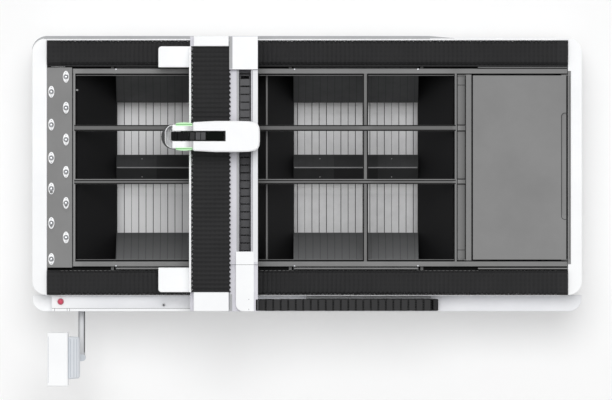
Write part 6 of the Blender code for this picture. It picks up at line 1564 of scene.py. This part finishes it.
@dataclass
class BodyPanels:
    """Joints and louvred vents of the long side panels."""

    joints: tuple[float, ...] = (-1.905, -0.336, 1.162)
    vent: Point = (1.420, 2.000)
    vent_low: float = 0.30
    blades: int = 9
    pitch: float = 0.026

    def build(self) -> None:
        """Make the joints, the blades and the dark slots under them on both sides."""
        for node, way, top in (("rear_panel", 1, 0.80), ("front_panel", -1, 0.650)):
            low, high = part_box(node)
            face = high.y if way > 0 else low.y
            flat = sorted((face + way * 0.0001, face + way * 0.0005))
            lines = [(x - 0.0015, x + 0.0015, *flat, low.z + 0.004, top) for x in self.joints]
            x0, x1 = self.vent
            heights = [self.vent_low + self.pitch * i for i in range(self.blades)]
            lines += [(x0, x1, *flat, z - 0.004, z + 0.006) for z in heights]
            plates(f"{node}_joints", "bed", Finishes.RUBBER_AND_SHADE, lines, 0.0001)
            out = sorted((face + way * 0.0001, face + way * 0.0060))
            plates(f"{node}_vent_blades", "bed", Finishes.WHITE,
                   [(x0 - 0.004, x1 + 0.004, *out, z + 0.006, z + 0.016) for z in heights], 0.0020)


@dataclass
class ConsoleArm:
    """Swinging tube of the console with its post, collars and dark strips of painted shade along its upper
    edges.
    """

    pivot_y: float = -1.112
    end_y: float = -1.606
    x: float = -1.8970
    half: float = 0.0295
    z: float = 0.5905
    half_high: float = 0.0295
    corner: float = 0.022
    post: Point = (-1.887, -1.596)
    post_radius: float = 0.020
    post_top: float = 0.998
    strips: tuple[Point, ...] = ((-1, 0.0010), (1, 0.0055))
    strip_inset: float = 0.0060

    def tube(self) -> None:
        """Tube with a rounded section that closes to a blunt end."""
        mesh = bmesh.new()
        inner, tall = self.half - self.corner, self.half_high - self.corner
        ring = []
        for sx, sz, start in ((1, -1, -90), (1, 1, 0), (-1, 1, 90), (-1, -1, 180)):
            ring += arc_points(sx * inner, sz * tall, self.corner, start, start + 90, 5)
        end = self.end_y
        stations = [(self.pivot_y, 0.94), (self.pivot_y - 0.004, 1.0), (end + 0.03, 1.0), (end + 0.014, 0.95),
                    (end + 0.003, 0.8), (end, 0.55)]
        skin(mesh, [[mesh.verts.new((self.x + u * share, y + MACHINE_Y, self.z + v * share)) for u, v in ring]
                    for y, share in stations])
        fit(new_piece("console_arm_tube", mesh, Finishes.ARM, smooth=40), "console_arm", "console_arm")

    def upright(self) -> None:
        """Post with a foot collar and a bearing collar."""
        mesh = bmesh.new()
        r, base = self.post_radius, self.z + self.half_high
        rise = self.post_top - base
        profile = [(0.0, -0.02), (r * 1.25, -0.02), (r * 1.25, 0.012), (r * 1.1, 0.018), (r, 0.022),
                   (r, rise - 0.03), (r * 1.2, rise - 0.028), (r * 1.2, rise - 0.004),
                   (r * 1.1, rise), (0.0, rise)]
        x, y = self.post
        turned(mesh, profile, Vector((x, y + MACHINE_Y, base)), 28)
        fit(new_piece("console_arm_post", mesh, Finishes.ARM, smooth=40), "console_arm", "console_arm")

    def paint_edge_shade(self) -> None:
        """Black strips along the upper edges of the tube, painted shade where its sides turn from the light.
        """
        top = self.z + self.half_high
        boxes = []
        for side, width in self.strips:
            x = self.x + side * (self.half - self.strip_inset)
            boxes.append(place_box(x - width / 2, x + width / 2, self.end_y + 0.05, self.pivot_y - 0.01,
                                   top - 0.012, top - 0.0006))
        plates("console_arm_edge_shade", "console_arm", Finishes.RUBBER_AND_SHADE, boxes, 0.0006)

    def build(self) -> None:
        """Make the tube, the post and the painted edge shade."""
        self.tube()
        self.upright()
        self.paint_edge_shade()


@dataclass
class ConsoleShell:
    """Ribs, a joint, the stop button's middle and a key bezel on the operating parts."""

    ribs: tuple[float, ...] = (71.6, 74.9, 77.8)
    rib_half: float = 0.28
    button: tuple[Point, ...] = ((0.0125, -0.002), (0.0125, 0.0012), (0.0112, 0.0018), (0.0, 0.0014))
    button_sunk: float = 0.0012
    bezel: tuple[Point, ...] = (
        (0.0100, 0.0), (0.0145, 0.0), (0.0145, 0.0016), (0.0100, 0.0024), (0.0100, 0.0),
    )
    bezel_foot: float = 0.8101
    sides: int = 24

    def build(self) -> None:
        """Make the shell's ribs, the housing's joint, the stop button's sunk middle and the bezel."""
        top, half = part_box("console_rear_shell")[1].z, self.rib_half
        ribs = [pixel_box(px - half, px + half, 338.5, 376.5, top - 0.004, top + 0.0016) for px in self.ribs]
        plates("console_shell_ribs", "console", Finishes.ABS_RIB, ribs, 0.0007)
        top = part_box("console_housing")[1].z
        joint = [pixel_box(49.25, 49.6, 336.0, 382.0, top - 0.002, top + 0.0003)]
        plates("console_housing_joint", "console", Finishes.ABS_RIB, joint, 0.0001)
        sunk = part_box("emergency_stop")[1].z - self.button_sunk
        for name, body, carrier, profile, foot, finish, smooth in (
            # The stop button's middle is in the brighter red of painted light.
            ("emergency_stop_middle", "emergency_stop", "emergency_stop", self.button, sunk,
             Finishes.BRIGHT_RED, 40),
            ("key_switch_bezel", "bed", "key_switch", self.bezel, self.bezel_foot, Finishes.MOTOR, 30),
        ):
            low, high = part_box(carrier)
            middle = (low + high) / 2
            mesh = bmesh.new()
            turned(mesh, profile, Vector((middle.x, middle.y, foot)), self.sides)
            fit(new_piece(name, mesh, finish, smooth), body)


def dress_machine(nodes: dict[str, Item]) -> None:
    """Dress every sub-assembly, in the order in which the machine is put together."""
    SheetWork().build(nodes)
    BallUnits().build()
    for side, low, high in (("rear", 0.004, 0.013), ("front", 0.009, 0.004)):
        for end, moving_end_high, flat in (("left", True, 0.105), ("right", False, 0.084)):
            Bellows(f"bellows_{end}_{side}", "bed", "gantry", True, moving_end_high, 0.0365, low, high, 0.004,
                    0.020, flat).build()
    for side, moving_end_high in (("rear", False), ("front", True)):
        Bellows(f"beam_bellows_{side}", "gantry", "carriage", False, moving_end_high, 0.0377, 0.016, 0.014,
                0.005, 0.003, 0.0, over=0.0125, over_foot=1.2515).build()
    Chain("x_chain", "bed", "gantry", True, 0.0, 1.002, -0.4105, 0.075, 0.046, 0.0638,
          finish=Finishes.BLACK_NYLON, bar_gap=0.0105).build()
    Chain("y_chain", "gantry", "carriage", False, -0.700 + MACHINE_Y, 0.700 + MACHINE_Y, 0.350 + MACHINE_Y,
          0.068, 0.048, 0.0653).build()
    HeadChain().build()
    FrameTops().build()
    ScrapBays().build(nodes)
    HatchGrip().build()
    GantryTop().build(nodes)
    for assembly in (CarriageTop, ShelfTop, DrawerFronts, BodyPanels, ConsoleArm, ConsoleShell,
                     Fasteners, Seams):
        assembly().build()


def main() -> None:
    """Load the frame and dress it."""
    logging.basicConfig(level=logging.INFO, format="%(message)s")
    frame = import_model()
    Studio().build()
    dress_machine(frame["nodes"])


if __name__ == "__main__":
    main()
